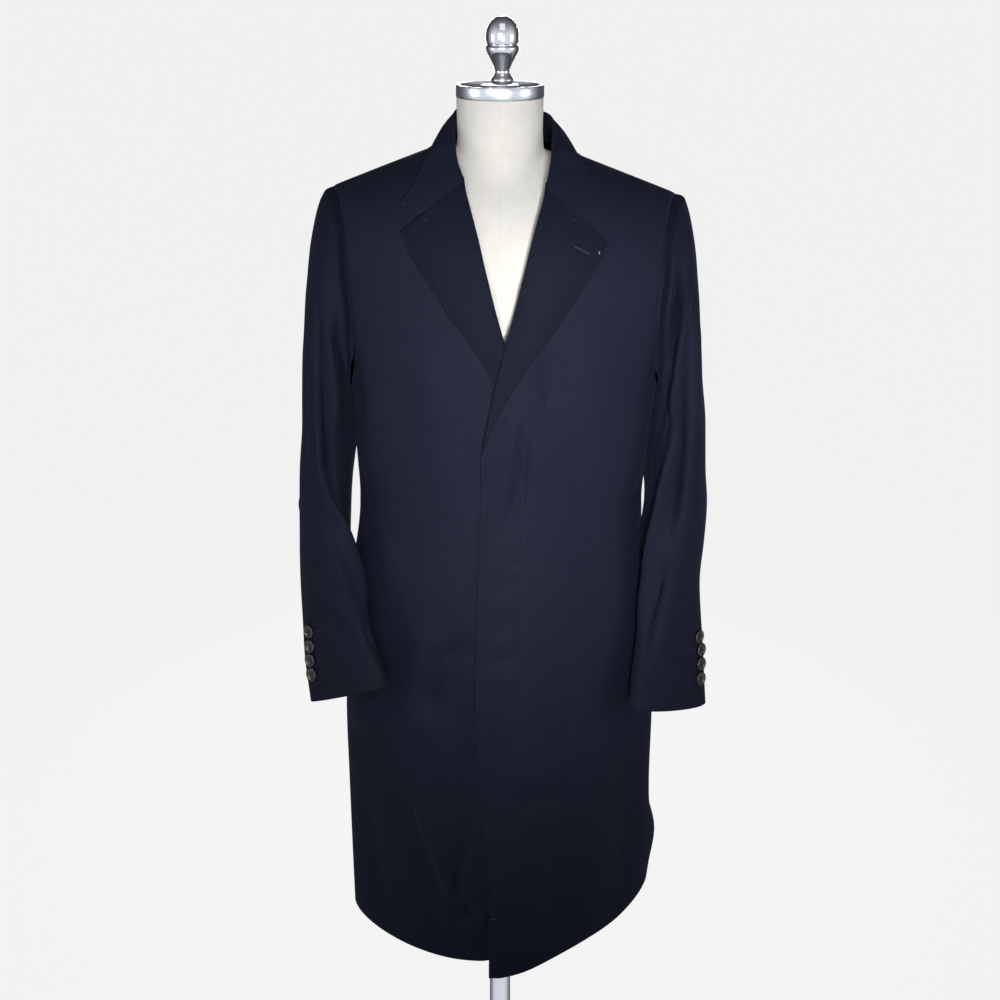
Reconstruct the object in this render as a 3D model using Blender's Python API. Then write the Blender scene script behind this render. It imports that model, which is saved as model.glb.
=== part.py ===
"""Single-breasted wool overcoat on a limbless dress form with a round stand.

Metres, +Z up. The coat faces -Y and the wearer's left side is at +X. The origin is on
the floor, under the middle of the stand's base. Every cloth piece is a wall between an
outer face, worked out from the tables below, and the same face moved in by WALL.
"""

import math

import bmesh
import bpy
import numpy as np
from mathutils import Matrix

# Cloth
WALL = 0.002  # overcoating with its fusing
GAP = 0.0003  # between two pieces sewn together
LAYER = WALL + GAP  # what one layer lying on another adds
QUARTER = math.pi / 2
MERGE = 1e-6  # points nearer than this are one

# The coat's heights above the floor
HEM = 0.420
UNDERARM = 1.200
SHOULDER_TIP = 1.459
CHEST_TOP = 1.360  # above it the panels arch over the shoulder
ARCH = 0.100  # the arch is this tall as a level, whatever its real rise
SHOULDER_SLOPE = 0.388
TIP_ACROSS = 0.2245
NECK_SOFTNESS = 0.020
LEAN = 0.005  # the coat hangs this much lower on its left
LEAN_HALF = 0.06  # across, where the lean is nearly whole
LEAN_FROM = 1.10
LEAN_REACH = 0.2

# How far the hem hangs below HEM, by degrees round the body from the centre front
HEM_COLUMNS = ("degrees", "left", "right")
HEM_DROPS = (
    (-15, 0.026, -0.003),
    (0, 0.026, -0.001),
    (12, 0.021, 0.004),
    (25, 0.010, 0.008),
    (40, -0.002, 0.008),
    (55, -0.010, 0.005),
    (70, -0.019, 0.002),
    (85, -0.024, 0.000),
    (95, -0.024, 0.000),
    (115, -0.017, 0.000),
    (140, -0.005, 0.000),
    (180, 0.000, 0.000),
)

# The skirt's left side hangs farther back, with a fold behind its seam
SWING_BACK = 0.022
SWING_TOP = 0.66
SWING_REACH = 0.24
FLARE_OUT = 0.021
FLARE_TURN = math.radians(108)
FLARE_SPREAD = math.radians(14)
FLARE_LEVEL = 0.500
FLARE_HEIGHT = 0.060

# Rings of the body: round is the superellipse exponent, shift is sideways
BODY_COLUMNS = ("height", "half_width", "front", "back", "front_round", "back_round", "shift")
BODY_SECTIONS = (
    (0.380, 0.2125, 0.174, 0.167, 1.56, 2.15, 0.0000),
    (0.515, 0.2160, 0.165, 0.160, 1.65, 2.20, 0.0010),
    (0.620, 0.2155, 0.159, 0.155, 1.78, 2.20, -0.0010),
    (0.740, 0.2165, 0.152, 0.149, 1.92, 2.25, -0.0010),
    (0.860, 0.2110, 0.145, 0.142, 2.10, 2.30, 0.0000),
    (0.940, 0.2035, 0.139, 0.132, 2.15, 2.30, 0.0000),
    (1.030, 0.1925, 0.133, 0.116, 2.20, 2.30, 0.0010),
    (1.120, 0.1975, 0.133, 0.111, 2.25, 2.30, 0.0030),
    (1.200, 0.2045, 0.136, 0.119, 2.30, 2.30, 0.0055),
    (1.280, 0.2190, 0.137, 0.128, 2.35, 2.30, 0.0060),
    (1.360, 0.2320, 0.131, 0.131, 2.40, 2.35, 0.0060),
)

# The armhole as an angle round the body: its top, and how far it bites into front and back
ARMHOLE_TOP_TURN = math.radians(16)
ARMHOLE_BITE = {"front": math.radians(27), "back": math.radians(25)}
ARMHOLE_TAPER = 0.35  # the bite is this much smaller at the top
ARMHOLE_STEPS = 10

# Inner edge of a front: the opening's roll line above the break, across from the middle
ROLL_COLUMNS = ("height", "across")
ROLL_LINE = (
    (1.137, -0.0270),
    (1.180, -0.0210),
    (1.2385, -0.0100),
    (1.281, 0.0000),
    (1.322, 0.0116),
    (1.3716, 0.0240),
    (1.4208, 0.0360),
    (1.4807, 0.0535),
    (1.5185, 0.0655),
)
# Left front's edge below the break, across from the middle; the right front's is hidden
EDGE_COLUMNS = ("height", "left", "right")
FRONT_EDGE = (
    (0.380, -0.0150, -0.030),
    (0.470, -0.0155, -0.030),
    (0.570, -0.0190, -0.030),
    (0.656, -0.0245, -0.030),
    (0.743, -0.0305, -0.030),
    (0.813, -0.0320, -0.030),
    (0.972, -0.0290, -0.030),
    (1.0466, -0.0265, -0.030),
    (1.137, -0.0270, -0.027),
)
BREAK = 1.137
CROSSING = 1.281  # the two roll lines cross here
EDGE_TRIES = 6  # rounds to find where a level meets the edge
OVERLAP_START = 0.0265  # across, where the upper front begins to come down onto the body
OVERLAP_REACH = 0.070  # how far it takes
OVERLAP_FRONTS = LAYER * 1.25  # the left front stands this much over the right one
OVERLAP_LAPEL = LAYER + 0.0014  # and this much more over the right lapel
OVERLAP_FADE = 0.05  # height over which each of the two comes and goes

# Lapel: edge heights and distances from the middle, and the notch
LAPEL_COLUMNS = ("height", "across")
LAPEL_EDGE = (
    (1.137, -0.0255),
    (1.171, -0.0165),
    (1.217, 0.0052),
    (1.2725, 0.0390),
    (1.314, 0.0697),
    (1.348, 0.0920),
    (1.391, 0.1190),
    (1.4142, 0.1300),
)
GORGE = 1.4750
NOTCH = (0.1000, 1.4397)
LAPEL_TIP = (0.1300, 1.4142)
COLLAR_TIP = (0.1290, 1.4465)
LAPEL_FOOT = 1.150
LAPEL_LIFT = LAYER + 0.0006
LAPEL_ROLL_LIFT = 0.004
LAPEL_LEAST = 0.003  # width where it starts
LAPEL_ROLLED = 0.05  # width that lifts fully
COVER_REACH = 0.02  # the right lapel rises this gradually from under the left front

# Collar, one half from the gorge (share 0) to the centre back (share 1)
FOLD_LEAN = 0.0015  # the fold sits this far back towards the wearer's right
FOLD_RADIUS = 0.0026
FALL_BULGE = 0.004
FALL_LIFT = LAYER + 0.0011
FOLD_COLUMNS = ("share", "across", "deep", "height")
COLLAR_FOLD = (
    (0.00, 0.0545, -0.0920, 1.4795),
    (0.15, 0.0612, -0.0620, 1.5070),
    (0.30, 0.0640, -0.0300, 1.5300),
    (0.45, 0.0645, 0.0030, 1.5445),
    (0.65, 0.0570, 0.0400, 1.5540),
    (0.85, 0.0310, 0.0640, 1.5550),
    (1.00, 0.0000, 0.0710, 1.5540),
)
EDGE_OF_FALL_COLUMNS = ("share", "across", "over")  # over: degrees over the shoulder
EDGE_OF_FALL = (
    (0.00, 0.1290, 39.0),
    (0.15, 0.1160, 49.0),
    (0.30, 0.1030, 65.0),
    (0.45, 0.0900, 88.0),
    (0.65, 0.0780, 113.0),
    (0.85, 0.0430, 130.0),
    (1.00, 0.0000, 134.0),
)
NECKLINE_BACK = math.radians(58)  # how far over the shoulder the back neck is cut
NECK_POINT = 1.5185  # where the shoulder seam meets the neck
NECK_SEAM_OUT = 0.0050  # above the gorge the neck seam lies this far outside the roll line
NECK_SEAM_START = 0.012  # it leaves the roll line this far below the gorge
NECK_SEAM_REACH = 0.0156
NECKLINE_ROUND = 0.7
SIDE_OF_NECK = 0.34  # share of the collar's half there
FOOT_CLEAR = 0.0037
FOLD_ARC = (135, 90, 45)  # degrees over the fold, from the stand to the fall
FALL_PARTS = (0.0, 0.12, 0.28, 0.44, 0.60, 0.80, 1.0)
GORGE_REACH = 0.34
GORGE_GAP = 0.0020

# Sleeves: rings by their middle, half sizes and three angles in degrees
SLEEVE_SHIFT = 0.003
SLEEVE_COLUMNS = ("step", "across", "deep", "height", "thick", "wide", "tilt", "pitch", "twist")
SLEEVE_CAP = (
    (0, 0.2123, -0.002, 1.3290, 0.1290, 0.070, 84.6, 0, 0),
    (1, 0.2215, -0.002, 1.3200, 0.1240, 0.072, 82.0, 0, 0),
    (2, 0.2285, -0.002, 1.2930, 0.1026, 0.075, 77.0, 0, 0),
)
SLEEVE_LEFT = (
    (3, 0.2325, -0.002, 1.2605, 0.0771, 0.078, 70.0, 0, 0),
    (4, 0.2350, -0.002, 1.2260, 0.0541, 0.080, 58.0, 1, 0),
    (5, 0.2359, -0.003, 1.1872, 0.0399, 0.080, 37.0, 3, 0),
    (6, 0.2374, -0.003, 1.1415, 0.0374, 0.0795, 12.0, 4, 0),
    (7, 0.2362, -0.004, 1.0850, 0.0401, 0.078, 0.0, 6, 0),
    (8, 0.2374, -0.0117, 1.0350, 0.0423, 0.076, 0, 11, 5),
    (9, 0.2352, -0.0241, 0.9850, 0.0403, 0.0745, 0, 16.5, 12),
    (10, 0.2350, -0.0400, 0.9320, 0.0315, 0.0735, 0, 17, 19),
    (11, 0.2305, -0.0560, 0.8780, 0.0300, 0.0725, 0, 17, 28),
    (12, 0.2280, -0.0720, 0.8230, 0.0275, 0.0715, 0, 17, 37),
    (13, 0.2268, -0.0895, 0.7640, 0.0245, 0.0705, 0, 17, 44),
)
SLEEVE_RIGHT = (
    (3, 0.2310, -0.002, 1.2564, 0.0815, 0.078, 70.0, 0, 0),
    (4, 0.2330, -0.002, 1.2226, 0.0581, 0.080, 58.0, 1, 0),
    (5, 0.2345, -0.003, 1.1862, 0.0416, 0.080, 37.0, 3, 0),
    (6, 0.2351, -0.003, 1.1415, 0.0354, 0.0795, 12.0, 4, 0),
    (7, 0.2399, -0.004, 1.0850, 0.0350, 0.078, 0.0, 6, 0),
    (8, 0.2425, -0.0149, 1.0350, 0.0340, 0.076, 0, 18, 5),
    (9, 0.2425, -0.0368, 0.9850, 0.0325, 0.0745, 0, 28, 12),
    (10, 0.2385, -0.0590, 0.9440, 0.0310, 0.0735, 0, 29, 20),
    (11, 0.2300, -0.0830, 0.9010, 0.0295, 0.0730, 0, 30, 29),
    (12, 0.2180, -0.1090, 0.8530, 0.0270, 0.0720, 0, 33, 41),
    (13, 0.2055, -0.1350, 0.8050, 0.0240, 0.0715, 0, 38, 47),
)
SLEEVE_STEP = 180 / ARMHOLE_STEPS  # degrees from column to column
SLEEVE_SPLIT = {"back": 0, "front": 13}  # columns of the two seams, round by the outside
ARMHOLE_KEPT = 4  # rings that still follow the armhole's edge

# Hip pocket welts: from the front end to the back end, round the body and up
WELT_FROM = {"left": (math.radians(57), 0.979), "right": (math.radians(53), 0.973)}
WELT_TO = {"left": (math.radians(86), 1.011), "right": (math.radians(82), 1.007)}
WELT_HEIGHT = 0.010
WELT_OUT = 0.0024
WELT_SEAT = 0.0007  # off the panel's own faces

# Cuff buttons
BUTTON_RADIUS = 0.0095
BUTTON_THICKNESS = 0.0032
BUTTON_PITCH = 0.0204
BUTTON_FIRST = {"left": 0.0385, "right": 0.0335}  # above the cuff's edge
BUTTONS = 4
BUTTON_TURN = {"left": 40, "right": 60}  # degrees from the back edge of the cuff
BUTTON_SWING = 8  # degrees of sleeve that a button covers to each side
BUTTON_STEPS = 16
BUTTON_PROFILE = (  # shares of the radius and of the thickness, from the back
    (0.80, 0.00),
    (0.98, 0.35),
    (1.00, 0.60),
    (0.90, 1.00),
    (0.70, 0.95),
    (0.55, 0.70),
)
BUTTON_SHANK = 0.0009  # of thread, between a button and the cloth
HOLE_RADIUS = 0.0010
HOLE_SPACING = 0.0032
HOLE_STEPS = 6
HOLE_REACH = (-0.002, 0.006)  # the pins' ends, from the button's back

# Dress form
FORM_BOTTOM = 0.800
FORM_COLUMNS = ("height", "half_width", "front", "back", "round")
FORM_SECTIONS = (
    (0.800, 0.165, 0.105, 0.110, 2.2),
    (0.860, 0.178, 0.115, 0.122, 2.2),
    (0.940, 0.176, 0.115, 0.116, 2.2),
    (1.030, 0.164, 0.112, 0.098, 2.2),
    (1.120, 0.170, 0.116, 0.096, 2.2),
    (1.200, 0.183, 0.124, 0.106, 2.25),
    (1.280, 0.197, 0.1190, 0.110, 2.3),
    (1.360, 0.206, 0.1120, 0.108, 2.35),
)
FORM_BELOW_SHOULDER = 0.0028  # below the coat's outer face: its wall and 0.6 mm
FORM_NECK_FALL = 0.012  # and this much more beside the neck
FORM_NECK_REACH = 0.08
FORM_ROWS = 12
FORM_STEPS = 36
NECK_ROWS = 9
NECK_COLUMNS = ("height", "radius", "deep")
NECK_SECTIONS = (
    (1.400, 0.080, -0.004),
    (1.450, 0.071, -0.003),
    (1.490, 0.0585, -0.001),
    (1.520, 0.0560, 0.000),
    (1.577, 0.0560, 0.000),
)
CAP_RADIUS = 0.0567
CAP_HEIGHT = 0.016
CAP_EDGE = 0.0012
FINIAL_ACROSS = 0.003
FINIAL_PROFILE = (  # radius, height above the cap
    (0.0120, 0.0003),
    (0.0143, 0.0040),
    (0.0143, 0.0070),
    (0.0110, 0.0115),
    (0.0092, 0.0150),
    (0.0095, 0.0185),
    (0.0121, 0.0255),
    (0.0150, 0.0310),
    (0.0198, 0.0400),
    (0.0213, 0.0440),
    (0.0213, 0.0470),
    (0.0190, 0.0495),
    (0.0205, 0.0520),
    (0.0214, 0.0585),
    (0.0203, 0.0680),
    (0.0160, 0.0770),
    (0.0095, 0.0830),
)
FINIAL_TOP = (0.0035, 0.0850)
POLE_RADIUS = 0.0150
BASE_RADIUS = 0.175
BASE_HEIGHT = 0.008
BASE_EDGE = 0.002
HUB_RADIUS = 0.030
HUB_HEIGHT = 0.045
HUB_SPREAD = 1.6  # the hub's foot and top, as shares of its radius
HUB_TAPER = 0.8
HUB_FOOT = 0.008

# Numbers of steps
LOWER_ROWS = 13
FRONT_COLUMNS = 11
BACK_COLUMNS = 11
BACK_CROWDING = 1.25  # more columns near the middle
LAPEL_ROWS = 13
LAPEL_COLUMNS_ACROSS = 5
COLLAR_STEPS = 9  # in each half
FINE_STEPS = 48  # round the cap and the base
ROUND_STEPS = 24  # round the knob and the pole


def read(columns, rows, name, at):
    """A column of a table at a value of its first column, on a smooth curve through its rows."""
    table = np.array(rows, float)
    key, value = table[:, 0], table[:, columns.index(name)]
    slope = np.gradient(value, key)
    at = np.asarray(at, float)
    row = np.clip(np.searchsorted(key, at) - 1, 0, len(key) - 2)
    step = key[row + 1] - key[row]
    t = np.clip((at - key[row]) / step, 0, 1)
    return (
        (1 + 2 * t) * (1 - t) ** 2 * value[row]
        + t * (1 - t) ** 2 * step * slope[row]
        + t * t * (3 - 2 * t) * value[row + 1]
        + t * t * (t - 1) * step * slope[row + 1]
    )


def signed_power(value, exponent):
    return np.sign(value) * np.abs(value) ** exponent


def ease(value):
    """0 to 1 with soft ends."""
    t = np.clip(value, 0, 1)
    return t * t * (3 - 2 * t)


def unit(vectors):
    return vectors / np.maximum(np.linalg.norm(vectors, axis=-1, keepdims=True), 1e-12)


# ---------------------------------------------------------------- the coat's body


def shoulder_line(across):
    """Height of the shoulder seam at this distance from the middle."""
    soft = np.sqrt(np.asarray(across) ** 2 + NECK_SOFTNESS**2)
    return SHOULDER_TIP + SHOULDER_SLOPE * (TIP_ACROSS - soft)


def place(side, points):
    """World points from coat coordinates: the sideways shift and the coat's lean."""
    across, deep, height = np.moveaxis(np.asarray(points, float), -1, 0)
    shift = read(BODY_COLUMNS, BODY_SECTIONS, "shift", height)
    lean = LEAN * np.tanh(side * across / LEAN_HALF) * ease((height - LEAN_FROM) / LEAN_REACH)
    return np.stack([side * across + shift, deep, height - lean], axis=-1)


def shape(turn, level):
    """Outer face of one half of the coat: across, deep and height. turn goes round the
    body, 0 at centre front, pi at centre back. level is the height up to CHEST_TOP, and
    above it the share of the arch over the shoulder."""
    turn, level = np.broadcast_arrays(np.asarray(turn, float), np.asarray(level, float))
    height = np.minimum(level, CHEST_TOP)
    over = np.maximum(level - CHEST_TOP, 0) / ARCH * QUARTER
    on_front = turn < QUARTER
    kind = np.where(
        on_front,
        read(BODY_COLUMNS, BODY_SECTIONS, "front_round", height),
        read(BODY_COLUMNS, BODY_SECTIONS, "back_round", height),
    )
    reach = np.where(
        on_front,
        -read(BODY_COLUMNS, BODY_SECTIONS, "front", height),
        read(BODY_COLUMNS, BODY_SECTIONS, "back", height),
    )
    across = read(BODY_COLUMNS, BODY_SECTIONS, "half_width", height) * signed_power(
        np.sin(turn), 2 / kind
    )
    deep = reach * np.abs(np.cos(turn)) ** (2 / kind) * np.cos(over)
    rise = (shoulder_line(across) - CHEST_TOP) * np.sin(over)
    return np.stack(np.broadcast_arrays(across, deep, height + rise), axis=-1)


def shape_normal(turn, level, step=1e-4):
    """Unit normal of the outer face, in coat coordinates."""
    turn = np.minimum(turn, np.pi - step)
    ahead = shape(turn + step, level) - shape(turn - step, level)
    up = shape(turn, level + step) - shape(turn, level - step)
    return unit(np.cross(ahead, up))


def swing(side, turn, level):
    """How far back the skirt's left side hangs, and how far its fold stands out."""
    if side < 0:
        return 0.0, 0.0
    back = SWING_BACK * ease((SWING_TOP - level) / SWING_REACH) * np.sin(turn) ** 4
    away = ((turn - FLARE_TURN) / FLARE_SPREAD) ** 2 + ((level - FLARE_LEVEL) / FLARE_HEIGHT) ** 2
    return back, FLARE_OUT * np.exp(-away)


def body(side, turn, level, out=0.0):
    """World point of the outer face, moved out."""
    back, fold = swing(side, turn, level)
    points = shape(turn, level) + shape_normal(turn, level) * np.asarray(out + fold)[..., None]
    points[..., 1] += back
    return place(side, points)


def outward(side, turn, level):
    """World normal of the outer face."""
    return shape_normal(turn, level) * np.array([side, 1.0, 1.0])


def find(across, height, back=False):
    """turn and level of the point of the coat at this distance across and this height."""
    rise = np.maximum(height - CHEST_TOP, 0) / (shoulder_line(across) - CHEST_TOP)
    level = np.minimum(height, CHEST_TOP) + ARCH * np.arcsin(np.clip(rise, 0, 1)) / QUARTER
    low = np.minimum(height, CHEST_TOP)
    kind = read(BODY_COLUMNS, BODY_SECTIONS, "back_round" if back else "front_round", low)
    half = read(BODY_COLUMNS, BODY_SECTIONS, "half_width", low)
    turn = np.arcsin(signed_power(np.clip(across / half, -1, 1), kind / 2))
    return (np.pi - turn if back else turn), level


def armhole_levels():
    """Levels of the rows that end at the armhole, underarm to shoulder tip."""
    share = (1 - np.cos(np.pi * np.arange(ARMHOLE_STEPS + 1) / ARMHOLE_STEPS)) / 2
    height = UNDERARM + (SHOULDER_TIP - UNDERARM) * share
    rise = np.clip((height - CHEST_TOP) / (SHOULDER_TIP - CHEST_TOP), 0, 1)
    level = np.minimum(height, CHEST_TOP) + ARCH * np.arcsin(rise) / QUARTER
    return share, level


def armhole_turn(share, half):
    """How far round the body the armhole's edge lies, from its nearer centre line."""
    bite = ARMHOLE_BITE[half] * np.sqrt(4 * share * (1 - share)) * (1 - ARMHOLE_TAPER * share)
    return QUARTER - ARMHOLE_TOP_TURN * share - bite


def neck_seam(height):
    """A front's edge beside the opening, across: the roll line, then the neck seam."""
    away = NECK_SEAM_OUT * ease((height - GORGE + NECK_SEAM_START) / NECK_SEAM_REACH)
    return float(read(ROLL_COLUMNS, ROLL_LINE, "across", height) + away)


def front_edge(side, level):
    """turn of a front's inner edge at each row."""
    turns = []
    for each in level:
        over = max(0.0, each - CHEST_TOP) / ARCH * QUARTER
        across = 0.0
        height = min(each, CHEST_TOP)
        for _ in range(EDGE_TRIES):
            top = height + (float(shoulder_line(across)) - CHEST_TOP) * math.sin(over)
            if top > BREAK:
                across = neck_seam(top)
            else:
                name = "left" if side > 0 else "right"
                across = float(read(EDGE_COLUMNS, FRONT_EDGE, name, top))
        kind = float(read(BODY_COLUMNS, BODY_SECTIONS, "front_round", height))
        half = float(read(BODY_COLUMNS, BODY_SECTIONS, "half_width", height))
        turns.append(float(np.arcsin(signed_power(across / half, kind / 2))))
    return np.array(turns)


def over_layers(side, across, height):
    """How far the left front stands out where it laps over the right front and its lapel."""
    if side < 0:
        return np.zeros(np.broadcast(across, height).shape)
    lap = 1 - ease((across - OVERLAP_START) / OVERLAP_REACH)
    below = 1 - ease((height - CROSSING) / OVERLAP_FADE)
    lapel = OVERLAP_LAPEL * ease((height - BREAK) / OVERLAP_FADE + 1)
    return lap * below * (OVERLAP_FRONTS + lapel)


# ---------------------------------------------------------------- solids from grids


def material(name, colour, roughness, metallic=0.0):
    made = bpy.data.materials.new(name)
    made.use_nodes = True
    shader = made.node_tree.nodes["Principled BSDF"]
    shader.inputs["Base Color"].default_value = (*colour, 1)
    shader.inputs["Roughness"].default_value = roughness
    shader.inputs["Metallic"].default_value = metallic
    return made


def add_object(name, points, faces, finish, sharp=35):
    mesh = bpy.data.meshes.new(name)
    mesh.from_pydata([tuple(map(float, point)) for point in points], [], faces)
    mesh.validate()
    work = bmesh.new()
    work.from_mesh(mesh)
    bmesh.ops.remove_doubles(work, verts=work.verts, dist=MERGE)
    bmesh.ops.recalc_face_normals(work, faces=work.faces)
    work.to_mesh(mesh)
    work.free()
    mesh.shade_smooth()
    mesh.set_sharp_from_angle(angle=math.radians(sharp))
    mesh.materials.append(finish)
    made = bpy.data.objects.new(name, mesh)
    bpy.context.scene.collection.objects.link(made)
    return made


def grid_normals(grid):
    """Normals of a grid of points, from its own rows and columns."""
    return unit(np.cross(np.gradient(grid, axis=1), np.gradient(grid, axis=0)))


def sheet(name, grid, normals, finish, wall=WALL):
    """Closed wall between a grid of points and the same grid moved in, against its normals."""
    rows, columns = grid.shape[:2]
    inner = grid - normals * wall
    points = np.concatenate([grid.reshape(-1, 3), inner.reshape(-1, 3)])
    far = rows * columns

    def number(row, column, layer):
        return layer * far + row * columns + column

    faces = []
    for layer in (0, 1):
        for i in range(rows - 1):
            for j in range(columns - 1):
                corners = [(i, j), (i, j + 1), (i + 1, j + 1), (i + 1, j)]
                corners = corners if layer else corners[::-1]
                faces.append([number(*corner, layer) for corner in corners])
    rim = [(0, j) for j in range(columns)] + [(i, columns - 1) for i in range(1, rows)]
    rim += [(rows - 1, j) for j in range(columns - 2, -1, -1)]
    rim += [(i, 0) for i in range(rows - 2, 0, -1)]
    for here, there in zip(rim, rim[1:] + rim[:1]):
        faces.append([number(*here, 0), number(*there, 0), number(*there, 1), number(*here, 1)])
    return add_object(name, points, faces, finish)


def inset(grid, first_row=0.0, last_row=0.0, first_column=0.0, last_column=0.0):
    """Moves a grid's outer points in by these lengths, so that neighbours stay apart."""
    grid = grid.copy()
    grid[0] += unit(grid[1] - grid[0]) * first_row
    grid[-1] += unit(grid[-2] - grid[-1]) * last_row
    grid[:, 0] += unit(grid[:, 1] - grid[:, 0]) * first_column
    grid[:, -1] += unit(grid[:, -2] - grid[:, -1]) * last_column
    return grid


def turned(name, profile, finish, centre=(0.0, 0.0), base=0.0, steps=ROUND_STEPS):
    """Solid of revolution: profile holds (radius, height) from bottom to top."""
    points = []
    for radius, height in profile:
        for k in range(steps):
            angle = 2 * math.pi * k / steps
            points.append(
                (
                    centre[0] + radius * math.cos(angle),
                    centre[1] + radius * math.sin(angle),
                    base + height,
                )
            )
    faces = [list(range(steps))[::-1], list(range(len(points) - steps, len(points)))]
    for ring in range(len(profile) - 1):
        for k in range(steps):
            n = (k + 1) % steps
            low, high = ring * steps, (ring + 1) * steps
            faces.append([low + k, low + n, high + n, high + k])
    return add_object(name, points, faces, finish, sharp=25)


# ---------------------------------------------------------------- panels


def panel_levels():
    share, upper = armhole_levels()
    lower = HEM + (UNDERARM - HEM) * np.arange(LOWER_ROWS) / LOWER_ROWS
    return np.concatenate([lower, upper]), np.concatenate([np.zeros(LOWER_ROWS), share])


def lowered(side, turn, level):
    """Levels with the hem let down or taken up round the body."""
    low = np.clip((UNDERARM - level) / (UNDERARM - HEM), 0, 1) ** 3
    drop = read(HEM_COLUMNS, HEM_DROPS, "left" if side > 0 else "right", np.degrees(turn))
    return level - drop * low


def front_grid(side):
    level, share = panel_levels()
    start = front_edge(side, level)
    end = armhole_turn(share, "front")
    part = np.arange(FRONT_COLUMNS + 1) / FRONT_COLUMNS
    turn = start[:, None] + (end - start)[:, None] * part[None, :]
    row = lowered(side, turn, level[:, None])
    across, _, height = np.moveaxis(shape(turn, row), -1, 0)
    grid = body(side, turn, row, over_layers(side, across, height))
    grid = inset(grid, last_row=GAP / 2, last_column=GAP / 2)
    return grid, outward(side, turn, row)


def back_grid(side):
    level, share = panel_levels()
    end = np.pi - armhole_turn(share, "back")
    part = (np.arange(BACK_COLUMNS + 1) / BACK_COLUMNS) ** BACK_CROWDING
    turn = np.pi + (end - np.pi)[:, None] * part[None, :]
    row = lowered(side, turn, level[:, None])
    # The neckline: near the middle the rows stop short of the shoulder seam.
    top = np.array([back_neck_level(find_back_across(column)) for column in turn[-1]])
    ceiling = CHEST_TOP + ARCH
    above = np.clip((row - UNDERARM) / (ceiling - UNDERARM), 0, 1)
    row -= above * (ceiling - top)[None, :]
    grid = body(side, turn, row)
    grid = inset(grid, last_row=GAP / 2, first_column=GAP / 2, last_column=GAP / 2)
    return grid, outward(side, turn, row)


def back_neck_level(across):
    """Level of the back's upper edge: the neckline near the middle, then the shoulder seam."""
    short = max(0.0, 1 - (across / neck_seam(NECK_POINT)) ** 2) ** NECKLINE_ROUND
    return CHEST_TOP + ARCH * (1 - short * (1 - NECKLINE_BACK / QUARTER))


def find_back_across(turn):
    kind = float(read(BODY_COLUMNS, BODY_SECTIONS, "back_round", CHEST_TOP))
    half = float(read(BODY_COLUMNS, BODY_SECTIONS, "half_width", CHEST_TOP))
    return half * float(signed_power(np.sin(turn), 2 / kind))


def make_fronts(cloth):
    for side, name in ((1, "front_left"), (-1, "front_right")):
        sheet(name, *front_grid(side), cloth)


def make_backs(cloth):
    for side, name in ((1, "back_left"), (-1, "back_right")):
        sheet(name, *back_grid(side), cloth)


# ---------------------------------------------------------------- lapels and collar


def gorge_line(across, tip):
    """Height of the line from the roll line through the notch to a tip."""
    inner = float(read(ROLL_COLUMNS, ROLL_LINE, "across", GORGE))
    return np.interp(across, (inner, NOTCH[0], tip[0]), (GORGE, NOTCH[1], tip[1]))


def lapel_grid(side):
    share = np.arange(LAPEL_ROWS + 1) / LAPEL_ROWS
    part = np.arange(LAPEL_COLUMNS_ACROSS + 1) / LAPEL_COLUMNS_ACROSS
    roll_height = LAPEL_FOOT + (GORGE - GAP - LAPEL_FOOT) * share
    edge_height = LAPEL_FOOT + (LAPEL_TIP[1] - GAP - LAPEL_FOOT) * share
    roll = read(ROLL_COLUMNS, ROLL_LINE, "across", roll_height)
    edge = read(LAPEL_COLUMNS, LAPEL_EDGE, "across", edge_height)
    edge = np.maximum(edge, roll + LAPEL_LEAST)
    across = roll[:, None] + (edge - roll)[:, None] * part
    height = roll_height[:, None] + (edge_height - roll_height)[:, None] * part
    bend = gorge_line(across[-1], LAPEL_TIP) - GAP - height[-1]
    height = height + bend[None, :] * share[:, None] ** 6
    width = (edge - roll)[:, None]
    lift = LAPEL_ROLL_LIFT * np.sin(np.pi * part) ** 0.8 * np.clip(width / LAPEL_ROLLED, 0, 1)
    if side < 0:
        lift = lift * ease((across + read(ROLL_COLUMNS, ROLL_LINE, "across", height)) / COVER_REACH)
    turn, level = find(across, height)
    out = over_layers(side, across, height) + LAPEL_LIFT + lift
    return body(side, turn, level, out), outward(side, turn, level)


def make_lapels(cloth):
    for side, name in ((1, "lapel_left"), (-1, "lapel_right")):
        sheet(name, *lapel_grid(side), cloth)


def over_shoulder(across, degrees, out):
    """Point over the shoulder: 0 degrees at the chest, 90 on the seam, 180 at the back."""
    back = degrees > 90
    over = 180 - degrees if back else degrees
    turn, _ = find(np.array(across), np.array(CHEST_TOP), back)
    level = np.array(CHEST_TOP + ARCH * over / 90)
    return shape(turn, level) + shape_normal(turn, level) * out


def clear_of_coat(point, out):
    """Moves a point out until it lies this far outside the coat's outer face."""
    for _ in range(3):
        back = point[1] > 0
        turn, level = find(np.array(point[0]), np.array(point[2]), back)
        base, normal = shape(turn, level), shape_normal(turn, level)
        if abs(point[1]) < abs(base[1]):
            point[1] = base[1]
        point = point + normal * max(0.0, out - float(np.dot(point - base, normal)))
    return point


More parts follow.
